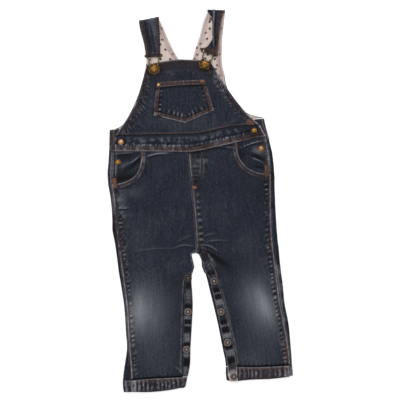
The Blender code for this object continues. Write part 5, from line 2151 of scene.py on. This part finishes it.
@dataclass
class RightLeg(FrontLeg):
    """The front leg on the right, with the mock fly beside the centre seam."""

    side: Side = Side.RIGHT
    seed: int = 200
    grain: float = 9.0
    lean: float = 0.25
    hem_look: tuple[float, float, float, float] = (0.25, 0.06, 0.55, 0.55)
    hem_row: float = 3.0
    strip_rise: float = 0.0
    strip_tone: float = 0.75
    ways: tuple[tuple[str, Way, Way], ...] = (
        ("mouth", (1.0, 0.5), (0.1, 1.0)), ("side", (1.0, -1.0), (1.0, 0.5)),
        ("hem", (-0.3, -1.0), (1.0, -1.0)), ("inner", (-1.0, -0.2), (-0.3, -1.0)),
        ("centre", (-1.0, 1.0), (-1.0, -0.2)), ("top", (0.1, 1.0), (-1.0, 1.0)))
    strip_ways: tuple[Edge, Edge] = (((-1.0, 0.3), (-0.3, -1.0)), ((1.0, -1.0), (0.9, 1.0)))
    hem_ways: Edge = ((1.0, -1.0), (1.0, 1.0))
    blocks: Rows = (
        (-86, 7, -0.5), (-97, 5, 0.1), (-113, 3, -0.8), (-122, 6, 0.2), (-140.5, 3.6, -0.9),
        (-151, 3.2, -0.9), (-146, 1.2, 0.4), (-160, 4, 0.6), (-168, 5, 0.2), (-191, 3.4, -0.9),
        (-197, 1.2, 0.4), (-204, 4, -0.9), (-213, 4, 0.5), (-231, 2.6, -0.9), (-240, 5, 0.45),
        (-252, 4.5, -0.9), (-263, 3, -0.3))
    # folds: a painted highlight on each crest with a painted shadow below it, and painted shade in each
    # trough
    creases: Rows = (
        (8, 80, 50, 78.5, 1.3, 0.8, 0.7, 1), (-14, 30.5, -2, 31, 1.3, 0.5, 0.45),
        (-14, 36.5, -1, 37, 1.3, 0.4, 0.3), (-15, 50, 0, 50.5, 1.8, 0.35, 0.25),
        (3, -56, 20, -50.5, 1.2, 0.6, 0.35, 1), (3, -64, 44, -61, 1.3, 0.5, 0.2, 2),
        (-1, -66, 27, -78, 1.4, 1.2, 0.5, 3), (9, -74, 40, -96, 1.8, 0.8, 0.28, 2),
        (8, -76, 32, -95, 3.4, -1, -1.1, 1), (12, -92, 32, -120, 3, -0.7, -0.4, 2),
        (74, 5, 80, -60, 10, 0.8, 0.04), (60, -110, 84, -240, 7, 0.7, 0.04),
        (98, -205, 108, -238, 7, 0.8, 0.05))
    # ovals; those below 0 are painted shade, as in the crotch fold and under the waistband
    patches: Rows = (
        (-6, 52, 6.5, 12, 0, 0.08, 0, 0.3), (-5, 76, 15, 6, 0, -0.5), (-6, 26, 10, 9, 0, -0.55),
        (37, -95, 16, 7, -42, -0.75), (98, -160, 9, 26, 22, 0, 0.52, 0.8),
        (89, -156, 24, 38, 20, 0, 0.45), (84, -230, 34, 40, 0, 0, 0.1), (72, -65, 14, 18, 0, 0, 0.06),
        (98, 22, 12, 26, 0, -0.3), (68, 24, 24, 24, 0, -0.12))
    fly: tuple[Way, ...] = ((2.5, 73.0), (2.6, 58.0), (2.4, 44.0), (0.8, 33.0), (-3.2, 24.5), (-9.0, 18.8))

    def shape(self, panel: Panel, seams: dict[str, Line]) -> None:
        """Mark the seams and folds that this leg alone has.

        Args:
            panel: The leg's panel.
            seams: The panel's edges by name.
        """
        centre = seams["centre"]
        panel.stripe(centre, 0.9, 0.9, height=0.5, tone=0.7, rust=0.2)
        panel.band(centre, 1.6, 4.0, tone=-0.1, rust=0.5)
        panel.pucker(centre.part(0.36, 1.0), 6.5, 3.0, 9.5, 0.4, 0.45, 205)
        fly = Line(through(np.array(self.fly), 2.0))
        panel.stripe(fly, 0.0, 1.0, height=-0.25, tone=-0.3, rust=0.3)
        panel.stripe(fly, 2.4, 1.2, height=0.3, tone=0.22)
        panel.pucker(fly.part(0.1, 0.8), 5.0, 3.4, 11.0, 0.4, 0.45, 206)
        # painted shadow under the waistband's lower edge
        panel.band(seams["top"], 0.0, 3.5, tone=-0.5)
        panel.band(seams["side"].part(0.0, 0.12), 0.0, 9.0, tone=0.15, rust=0.5, soft=2.0)

    def tab(self, strip: Panel) -> None:
        """The strip's lower end laps over the hem and is worn pale round its snap."""
        strip.patch((51.0, -266.0), (16.0, 10.0), 0.0, tone=2.6)
        strip.rust += 0.3 * swell(strip.y, -78.0, 9.0) + 0.35 * swell(strip.y, -257.0, 12.0)

    def rows(self, seams: dict[str, Line]) -> Seams:
        """The rows of stitches along the seams and round the mock fly."""
        fly = Line(through(np.array(self.fly), 1.5))
        return (*super().rows(seams), (seams["centre"].moved(2.8), 0.9, 207), (fly, 0.8, 208))

    def tacks(self) -> tuple[tuple, ...]:
        """The bar tack at the foot of the mock fly."""
        return (((-10.8, 19.0), (-6.2, 19.0), 4.4, 0.1, 209),)


@dataclass
class FrontBody:
    """The front waistband and the bib above it."""

    def build(self, room: Workroom) -> None:
        """Make both.

        Args:
            room: The workroom.
        """
        band = Panel("front_waistband", TURNED, crown=0.35)
        edge = band.outline.edge
        low, high = edge((-1.0, -0.5), (1.0, 0.0)), edge((1.0, 1.0), (-1.0, 0.4))
        band.lumps(0.2, 0.12, 301)
        band.tone += 0.1
        # ovals below 0 are painted shade, the darkest round the right snap
        band.patches((
            (2, 80, 22, 7, 0, -0.45), (78, 100, 22, 13, 20, -0.65), (-122, 87, 12, 6, 0, -0.4),
            (24, 94, 26, 8, 12, -0.08), (48, 84, 28, 6, 12, 0.35)))
        band.pucker(low, 9.6, 3.0, 4.3, 0.45, 0.5, 302, lean=0.2)
        band.pucker(low, 11.0, 3.6, 8.0, 0.3, 0.4, 307, lean=-0.4)
        band.stripe(low, 9.0, 1.5, height=0.3, tone=0.35, broken=0.7, seed=310)
        band.stripe(low, 12.5, 1.5, height=-0.3, tone=-0.35, broken=0.7, seed=311)
        band.grit(low, 14.0, 7.0, 0.28, 312)
        band.pucker(low, 17.0, 4.0, 12.0, 0.2, 0.15, 308, lean=0.3)
        band.stripe(low, 0.5, 0.7, height=0.2, tone=0.9, seed=303)
        band.band(low, 1.0, 6.6, height=0.15, rust=0.48)
        band.grit(low, 3.8, 2.6, 0.4, 309)
        band.stripe(high, 1.0, 1.6, tone=-0.5)
        band.stripe(edge((1.0, 0.0), (1.0, 1.0)), 0.9, 1.5, height=0.2, tone=1.5, rust=0.3)
        band.stripe(edge((-1.0, 0.4), (-1.0, -0.5)), 0.9, 0.9, height=0.2, tone=0.7)
        room.sheet(band, "front_waistband",
                   ((low.moved(2.0), 0.75, 304), (low.moved(5.8), 0.9, 305)))
        self.bib(room)

    def bib(self, room: Workroom) -> None:
        """Make the bib.

        Args:
            room: The workroom.
        """
        bib = Panel("front_bib", crown=0.7)
        edge = bib.outline.edge
        low, right = edge((-1.0, -1.0), (1.0, 0.0)), edge((1.0, 0.0), (0.3, 1.0))
        top, left = edge((0.3, 1.0), (-0.3, 1.0)), edge((-0.3, 1.0), (-1.0, -1.0))
        bib.lumps(0.35, 0.12, 311)
        bib.stripe(top, 0.5, 0.7, height=0.2, tone=0.85, seed=312)
        # painted shade below the turned top edge, with a brownish tint
        bib.stripe(top, 3.4, 0.8, tone=-0.25)
        bib.band(top, 2.0, 14.0, tone=-0.35, rust=0.25, soft=3.0)
        bib.patches((
            (-24, 192, 30, 7, 0, -0.1), (31, 184, 8, 13, 20, 0.75), (42, 170, 7, 9, 20, 0.3),
            (-15, 116, 48, 15, 0, 0.07)))
        bib.stripe(top, 17.0, 1.2, height=0.3, tone=0.12, broken=0.8, seed=313)
        bib.grit(top, 20.0, 3.0, 0.18, 327)
        for side, seed in ((left, 314), (right, 318)):
            bib.stripe(side, 0.5, 0.7, height=0.2, tone=0.35, seed=seed)
            bib.band(side, 1.0, 8.5, tone=-0.12, rust=0.16)
            bib.pucker(side, 5.2, 3.4, 4.4, 0.3, 0.6, seed + 1, lean=0.6)
            bib.grit(side, 6.5, 4.5, 0.42, seed + 3)
            bib.pucker(side, 11.0, 3.2, 6.0, 0.3, 0.3, seed + 2, lean=-0.5)
        # painted shadow round and under each dome, with a red-brown tint
        for side in Side:
            x, y = middle_of(f"bib_button_{side.value}")
            bib.patch((x + 1.0, y - 3.0), (10.0, 9.0), 0.0, tone=-0.9)
            bib.rust += 0.3 * np.exp(-((bib.x - x) ** 2 + (bib.y - y) ** 2) / 150.0)
        bib.stripe(left.part(0.72, 1.0), 0.3, 0.8, tone=0.6)
        bib.stripe(right.part(0.0, 0.3), 0.3, 0.8, tone=1.0)
        bib.creases((
            (-104, 125, -85, 108, 3, 0.6, 0.08), (62, 122, 40, 114, 3, 0.6, 0.08),
            (-70, 182, -68, 140, 2, 0.5, 0.15)))
        bib.stripe(low, 2.4, 0.9, height=0.1, tone=0.1)
        seams = ((top.moved(2.2), 0.35, 321), (low.moved(1.4), 0.5, 306), (left.moved(2.6), 0.95, 322),
                 (left.moved(8.6), 1.5, 323), (right.moved(2.6), 0.9, 324), (right.moved(8.6), 1.3, 325))
        room.sheet(bib, "front_bib", seams,
                   (((70.5, 120.5), (80.0, 113.5), 5.0, 0.7, 326),))


@dataclass
class BibPocket:
    """The pointed patch pocket with its turned top."""

    hem_thickness: float = 1.0

    def build(self, room: Workroom) -> None:
        """Make the pocket and the top.

        Args:
            room: The workroom.
        """
        pocket = Panel("bib_pocket", crown=0.5)
        edge = pocket.outline.edge
        left, right = edge((-0.4, 1.0), (-1.0, -0.1)), edge((1.0, 0.0), (0.4, 1.0))
        low = edge((-1.0, -0.1), (1.0, 0.0))
        pocket.lumps(0.25, 0.12, 401)
        pocket.tone -= 0.07
        for side, seed in ((left, 402), (right, 404)):
            pocket.stripe(side, 0.5, 0.7, height=0.25, tone=0.5, seed=seed)
            pocket.band(side, 1.0, 5.6, height=0.15, rust=0.6)
            pocket.grit(side, 4.0, 2.8, 0.35, seed + 5)
            pocket.pucker(side, 8.2, 1.8, 6.6, 0.35, 0.9, seed + 1)
            # painted shade just inside the side band
            pocket.stripe(side, 6.6, 0.8, tone=-0.6)
        pocket.stripe(low, 0.5, 0.7, height=0.25, tone=0.95, seed=406)
        pocket.band(low, 1.0, 5.5, height=0.15, rust=0.55)
        pocket.grit(low, 4.0, 3.0, 0.35, 420)
        pocket.pucker(low, 9.4, 3.8, 6.6, 0.4, 0.72, 407)
        # painted shade inside the lower band, and a painted shadow under the turned top
        pocket.stripe(low, 6.4, 0.8, tone=-0.5)
        pocket.stripe(edge((0.4, 1.0), (-0.4, 1.0)), 9.2, 1.6, height=-0.2, tone=-0.9, broken=0.1)
        pocket.patches((
            (-22, 150, 22, 18, 0, 0.06, 0, 0.5),))
        piece = room.cloth(pocket, "bib_pocket")
        band = Panel("bib_pocket_hem", self.hem_thickness, crown=0.15)
        edge = band.outline.edge
        top, bottom = edge((1.0, 1.0), (-1.0, 1.0)), edge((-1.0, -1.0), (1.0, -1.0))
        band.band(top, 0.0, 8.0, tone=-0.04, rust=0.5)
        band.stripe(top, 0.5, 0.7, tone=0.3)
        band.stripe(bottom, 0.7, 0.7, tone=0.4)
        band.pucker(top, 4.0, 2.2, 6.0, 0.15, 0.25, 409)
        top_piece = room.cloth(band, "bib_pocket_hem")
        seams = ((left.moved(2.0), 0.8, 411), (left.moved(5.4), 0.85, 412), (right.moved(2.0), 0.8, 413),
                 (right.moved(5.4), 0.85, 414), (low.moved(2.2), 0.7, 415), (low.moved(5.2), 0.8, 416),
                 (top.moved(1.6), 0.75, 417), (bottom.moved(1.6), 0.7, 418))
        stitches = room.sewn("bib_pocket", seams, (((0.2, 177.8), (6.0, 178.2), 4.6, 0.35, 419),))
        lay_claim(pocket)


@dataclass
class Tacks:
    """The bar tacks at the ends of the scoop pockets."""

    places: tuple[tuple[Way, Way, float, float], ...] = (
        ((-129.4, 33.0), (-127.6, 18.5), 6.0, 0.6), ((-88.5, 72.6), (-88.2, 64.0), 2.6, 0.95),
        ((100.2, 52.5), (100.8, 37.5), 8.0, 1.05), ((97.6, 52.0), (98.0, 39.0), 1.8, 0.45),
        ((53.5, 85.5), (54.0, 79.5), 4.2, 0.75))
    first_seed: int = 500

    def build(self, room: Workroom) -> None:
        """Make them all.

        Args:
            room: The workroom.
        """
        thread = Thread()
        for seed, place in enumerate(self.places, self.first_seed):
            thread.tack(*place, seed)
        room.thread(thread, "pocket_tacks")


def polish(piece: Piece, share: Array, rosy: Array) -> None:
    """Keep how far each point of a metal piece is rubbed bright and has turned pinkish, from 0 to 1."""
    keep(piece.data, "polish", share)
    keep(piece.data, "rosy", rosy)


@dataclass(frozen=True)
class Turned:
    """A round metal piece by its outer wall and the steps from its rim to its middle."""

    radius: float
    wall: float
    steps: Rows              # how far in and how far up each one goes
    sides: int = 40
    bevel: float = 0.12
    core: float = 0.0        # how much brighter its middle is rubbed than the rest

    def build(self, name: str, x: float, y: float, base: float, shine: float = 0.6,
              rosy: float = 0.0) -> Piece:
        """Model it from a cylinder, its top inset step by step.

        Args:
            name: The piece's name.
            x: Its middle across.
            y: Its middle along.
            base: The height of its underside.
            shine: How bright its crest is rubbed.
            rosy: How far its plating has turned pinkish.

        Returns:
            The piece.
        """
        bpy.ops.object.select_all(action="DESELECT")
        bpy.ops.mesh.primitive_cylinder_add(
            vertices=self.sides, radius=self.radius * MM, depth=self.wall * MM,
            location=(x * MM, y * MM, (base + self.wall / 2) * MM))
        made = bpy.context.object
        made.name = made.data.name = name
        bpy.ops.object.transform_apply(location=True, rotation=True, scale=True)
        bpy.ops.object.mode_set(mode="EDIT")
        bpy.ops.mesh.select_mode(type="FACE")
        bpy.ops.mesh.select_all(action="DESELECT")
        shape = bmesh.from_edit_mesh(made.data)
        for face in shape.faces:
            face.select_set(face.normal.z > 0.9)
        bmesh.update_edit_mesh(made.data)
        for inward, up in self.steps:
            bpy.ops.mesh.inset(thickness=inward * MM, depth=up * MM)
        bpy.ops.object.mode_set(mode="OBJECT")
        rounding = made.modifiers.new("rounding", "BEVEL")
        rounding.width, rounding.segments, rounding.limit_method = self.bevel * MM, 2, "ANGLE"
        bpy.ops.object.modifier_apply(modifier=rounding.name)
        bpy.ops.object.shade_smooth_by_angle(angle=math.radians(40.0))
        height = np.array([vertex.co.z for vertex in made.data.vertices]) / MM - base
        away = np.array([math.dist(vertex.co.xy / MM, (x, y)) for vertex in made.data.vertices])
        crest = ease(height, 0.45 * height.max(), 0.95 * height.max())
        crest = crest * (1.0 - self.core * ease(away, 0.2 * self.radius, 0.4 * self.radius))
        groove = self.core * swell(away, 0.47 * self.radius, 0.12 * self.radius)
        polish(made, shine * (0.25 + 0.75 * crest) - groove, rosy * (0.3 + 0.7 * crest) * (1.0 - groove))
        return made


DOME_BUTTON = Turned(6.35, 0.7, (
    (0.25, 0.25), (0.35, 0.12), (0.5, -0.1), (0.3, 0.25), (0.6, 0.42), (0.8, 0.38), (0.9, 0.27), (0.9, 0.14),
    (0.8, 0.05)))
SHANK = Turned(3.0, 1.0, ((0.4, 0.1),))
SNAP_CAP = Turned(4.3, 0.8, (
    (0.2, 0.18), (0.45, 0.1), (0.4, -0.15), (0.35, 0.3), (0.7, 0.36), (0.8, 0.22), (0.8, 0.1)))
SNAP_SOCKET = Turned(5.8, 0.45, (
    (0.35, 0.35), (0.7, 0.25), (0.9, 0.0), (0.5, -0.3), (0.35, -0.35), (0.6, 0.0), (0.35, 0.35), (0.5, 0.3),
    (0.5, 0.1)), core=0.85)
RIVET = Turned(2.2, 0.35, ((0.25, 0.2), (0.4, 0.3), (0.5, 0.2), (0.5, 0.08)), sides=28)


@dataclass
class Snaps:
    """The side snaps, the sockets down the inner legs and the pocket's rivet."""

    aged: tuple[tuple[str, float, float], ...] = (
        ("side_snap_1", 0.5, 0.62), ("side_snap_2", 0.5, 0.05), ("side_snap_3", 0.5, 0.0),
        ("side_snap_4", 0.55, 0.3), ("leg_snap_left_1", -0.35, 0.4), ("leg_snap_right_1", -0.2, 1.0),
        ("pocket_rivet", 1.4, 0.35))
    sink: float = 0.1        # how far they press into the cloth

    def seated(self, room: Workroom, node: str, shape: Turned, finish: Finish, *look: float) -> None:
        """Model a turned piece where its solid is, on the cloth.

        Args:
            room: Dresses it.
            node: The solid.
            shape: Its profile.
            finish: What it is made of.
            look: How bright its crest is rubbed and how pinkish it is, where it isn't named as aged.
        """
        x, y = middle_of(node)
        turn = np.linspace(0.0, 2.0 * math.pi, 13)
        around = HEAP.level(x + 0.8 * shape.radius * np.cos(turn), y + 0.8 * shape.radius * np.sin(turn))
        look = {title: aged for title, *aged in self.aged}.get(node, look)
        made = shape.build(f"{node}_metal", x, y, float(np.mean(around)) - self.sink, *look)
        room.dress(made, finish, node)

    def build(self, room: Workroom) -> None:
        """Make them all.

        Args:
            room: The workroom.
        """
        for node in sorted(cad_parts):
            if node.startswith("side_snap"):
                self.seated(room, node, SNAP_CAP, Finish.BRASS, 0.62, 0.0)
            elif node.startswith("leg_snap"):
                self.seated(room, node, SNAP_SOCKET, Finish.BRONZE, 0.05, 1.4)
            elif node == "pocket_rivet":
                self.seated(room, node, RIVET, Finish.BRASS, 1.4, 0.0)


@dataclass
class Buckle:
    """A wire buckle hooked on a dome button, its bar under the strap's end."""

    side: Side
    wire: float = 1.7
    half: Rows = (           # across, along and share of the way up from bar to loop
        (0.0, 21.5, 0.0), (9.0, 21.5, 0.0), (12.2, 21.2, 0.0), (13.0, 19.8, 0.0), (11.0, 18.0, 0.0),
        (8.4, 16.4, 0.1), (7.1, 13.6, 0.7), (7.3, 10.6, 1.0))
    lobes: int = 8
    loop: Way = (6.6, 1.5)   # the ring's least radius, and how far its lobes stand out

    def path(self, x: float, y: float, turn: float, bar: float, loop: float) -> Array:
        """Points once round the wire.

        Args:
            x: The button's middle across.
            y: The button's middle along.
            turn: The buckle's turn in radians.
            bar: The height of the bar.
            loop: The height of the loop.

        Returns:
            The points and the wire's size at each.
        """
        half = np.array(self.half)
        start = math.atan2(half[-1, 1], half[-1, 0])
        ring = []
        for share in np.linspace(0.0, 1.0, 62)[1:-1]:
            angle = math.pi - start + (math.pi + 2.0 * start) * share
            lobe = abs(math.cos(self.lobes / 2.0 * (angle + math.pi / 2.0))) ** 0.7
            size = self.loop[0] + self.loop[1] * lobe
            ring.append((size * math.cos(angle), size * math.sin(angle), 1.0))
        left = half[1:] * (-1.0, 1.0, 1.0)
        whole = np.vstack([half[:1], left, ring, half[:0:-1]])
        c, s = math.cos(turn), math.sin(turn)
        across, along, up = whole.T
        place = (x + across * c - along * s, y + across * s + along * c, bar + up * (loop - bar))
        return np.column_stack(place)

    def build(self, room: Workroom) -> None:
        """Make the wire and the button.

        Args:
            room: The workroom.
        """
        name = self.side.value
        x, y = middle_of(f"bib_button_{name}")
        points, _ = node_mesh(f"buckle_{name}")
        away = np.hypot(points[:, 0] - x, points[:, 1] - y)
        bar_points = points[away > away.max() - 3.0]
        middle = (bar_points.min(axis=0) + bar_points.max(axis=0)) / 2
        turn = math.atan2(-(middle[0] - x), middle[1] - y)
        bar = float(bar_points[:, 2].mean())
        seat = float(HEAP.level([x], [y])[0])
        path = self.path(x, y, turn, bar, seat + self.wire / 2 + 0.3)
        bpy.ops.object.select_all(action="DESELECT")
        bpy.ops.curve.primitive_nurbs_path_add()
        wire = bpy.context.object
        wire.name = f"buckle_{name}_metal"
        wire.data.splines.clear()
        spline = wire.data.splines.new("BEZIER")
        spline.bezier_points.add(len(path) - 1)
        spline.use_cyclic_u = True
        for knot, place in zip(spline.bezier_points, path):
            knot.co = Vector(place) * MM
            knot.handle_left_type = knot.handle_right_type = "AUTO"
            knot.radius = 1.7 if math.dist(place[:2], (x, y)) < 9.6 else 1.0
        wire.data.bevel_depth = self.wire / 2 * MM
        wire.data.bevel_resolution, wire.data.resolution_u = 3, 4
        bpy.ops.object.convert(target="MESH")
        bpy.ops.object.transform_apply(location=True, rotation=True, scale=True)
        wire.data.name = wire.name
        bpy.ops.object.shade_smooth()
        away = np.array([math.dist(vertex.co.xy / MM, (x, y)) for vertex in wire.data.vertices])
        polish(wire, self.side.pick(0.22, 0.14) * (1.0 + 0.6 * ease(away, 9.0, 11.5)), np.zeros(len(away)))
        room.dress(wire, Finish.BRONZE, f"buckle_{name}")
        room.dress(SHANK.build(f"bib_button_{name}_shank", x, y, seat - 0.2), Finish.BRASS)
        look = self.side.pick((0.42, 0.0), (0.32, 0.02))
        dome = DOME_BUTTON.build(f"bib_button_{name}_metal", x, y, seat + self.wire + 0.5, *look)
        room.dress(dome, Finish.BRASS, f"bib_button_{name}")


@dataclass
class Studio:
    """A pale floor, soft light and a camera straight above."""

    width: float = 600.0     # of the view on the floor
    lens: float = 85.0
    sensor: float = 36.0
    middle: Way = (-0.4, 0.3)
    clearance: float = 3.0   # of the garment's face above the floor, for the camera's distance
    side: float = 6.0        # of the floor, in metres
    drop: float = 0.2        # of the floor below the garment
    grey: float = 0.5        # the floor's own colour
    glow: float = 0.56       # light that the floor gives off itself
    sky: float = 0.78        # strength of the light from all round
    lamps: tuple[tuple[str, Place, float, float], ...] = (       # name, place and size in metres, and watts
        ("above", (0.0, 1.0, 1.2), 0.9, 15.0), ("beside", (-0.9, 0.2, 1.3), 1.0, 5.0))

    def build(self) -> None:
        """Make the floor, the lights and the camera."""
        bpy.ops.object.select_all(action="DESELECT")
        bpy.ops.mesh.primitive_plane_add(size=self.side, location=(0.0, 0.0, -self.drop * MM))
        floor = bpy.context.object
        floor.name = "floor"
        graph = Graph("pale_floor", roughness=0.9, specular_ior_level=0.1)
        graph.feed(graph.shader.inputs["Base Color"], (self.grey, self.grey, self.grey))
        graph.feed(graph.shader.inputs["Emission Color"], (1.0, 1.0, 1.0))
        graph.feed(graph.shader.inputs["Emission Strength"], self.glow)
        floor.data.materials.append(graph.material)
        world = bpy.data.worlds.new("studio")
        world.use_nodes = True
        sky = world.node_tree.nodes["Background"].inputs
        sky["Color"].default_value, sky["Strength"].default_value = (1.0, 1.0, 1.0, 1.0), self.sky
        bpy.context.scene.world = world
        for lamp in self.lamps:
            self.light(*lamp)
        camera = bpy.data.objects.new("camera", bpy.data.cameras.new("camera"))
        camera.data.lens, camera.data.sensor_width = self.lens, self.sensor
        away = self.width * self.lens / self.sensor + self.clearance
        camera.location = (self.middle[0] * MM, self.middle[1] * MM, away * MM)
        bpy.context.scene.collection.objects.link(camera)
        bpy.context.scene.camera = camera
        bpy.context.scene.view_settings.view_transform = "Standard"

    def light(self, name: str, place: Place, size: float, power: float) -> None:
        """Add a soft square light that faces the garment.

        Args:
            name: Its name.
            place: Where it is, in metres.
            size: The length of its sides, in metres.
            power: Its power in watts.
        """
        lamp = bpy.data.lights.new(name, "AREA")
        lamp.size, lamp.energy = size, power
        made = bpy.data.objects.new(name, lamp)
        made.location = place
        made.rotation_euler = (-Vector(place)).to_track_quat("-Z", "Y").to_euler()
        bpy.context.scene.collection.objects.link(made)


def main() -> None:
    """Build every sub-assembly from the floor up."""
    logging.basicConfig(level=logging.INFO, format="%(message)s")
    Studio().build()
    room = Workroom()
    BackLeg(Side.LEFT, ((45.0, 22.0, 1.0), (-45.0, 14.0, 1.5), (-112.0, 36.0, 1.9), (-190.0, 25.0, 0.6),
                        (-243.0, 15.0, 0.8))).build(room)
    BackLeg(Side.RIGHT, ((-105.0, 28.0, -1.7), (-153.0, 22.0, -2.0))).build(room)
    BackWaist().build(room)
    for side in Side:
        Strap(side).build(room)
    PocketBacks().build(room)
    LeftLeg().build(room)
    RightLeg().build(room)
    FrontBody().build(room)
    BibPocket().build(room)
    Tacks().build(room)
    for side in Side:
        Buckle(side).build(room)
    Snaps().build(room)
    LOG.info("%d pieces", room.pieces)


if __name__ == "__main__":
    main()
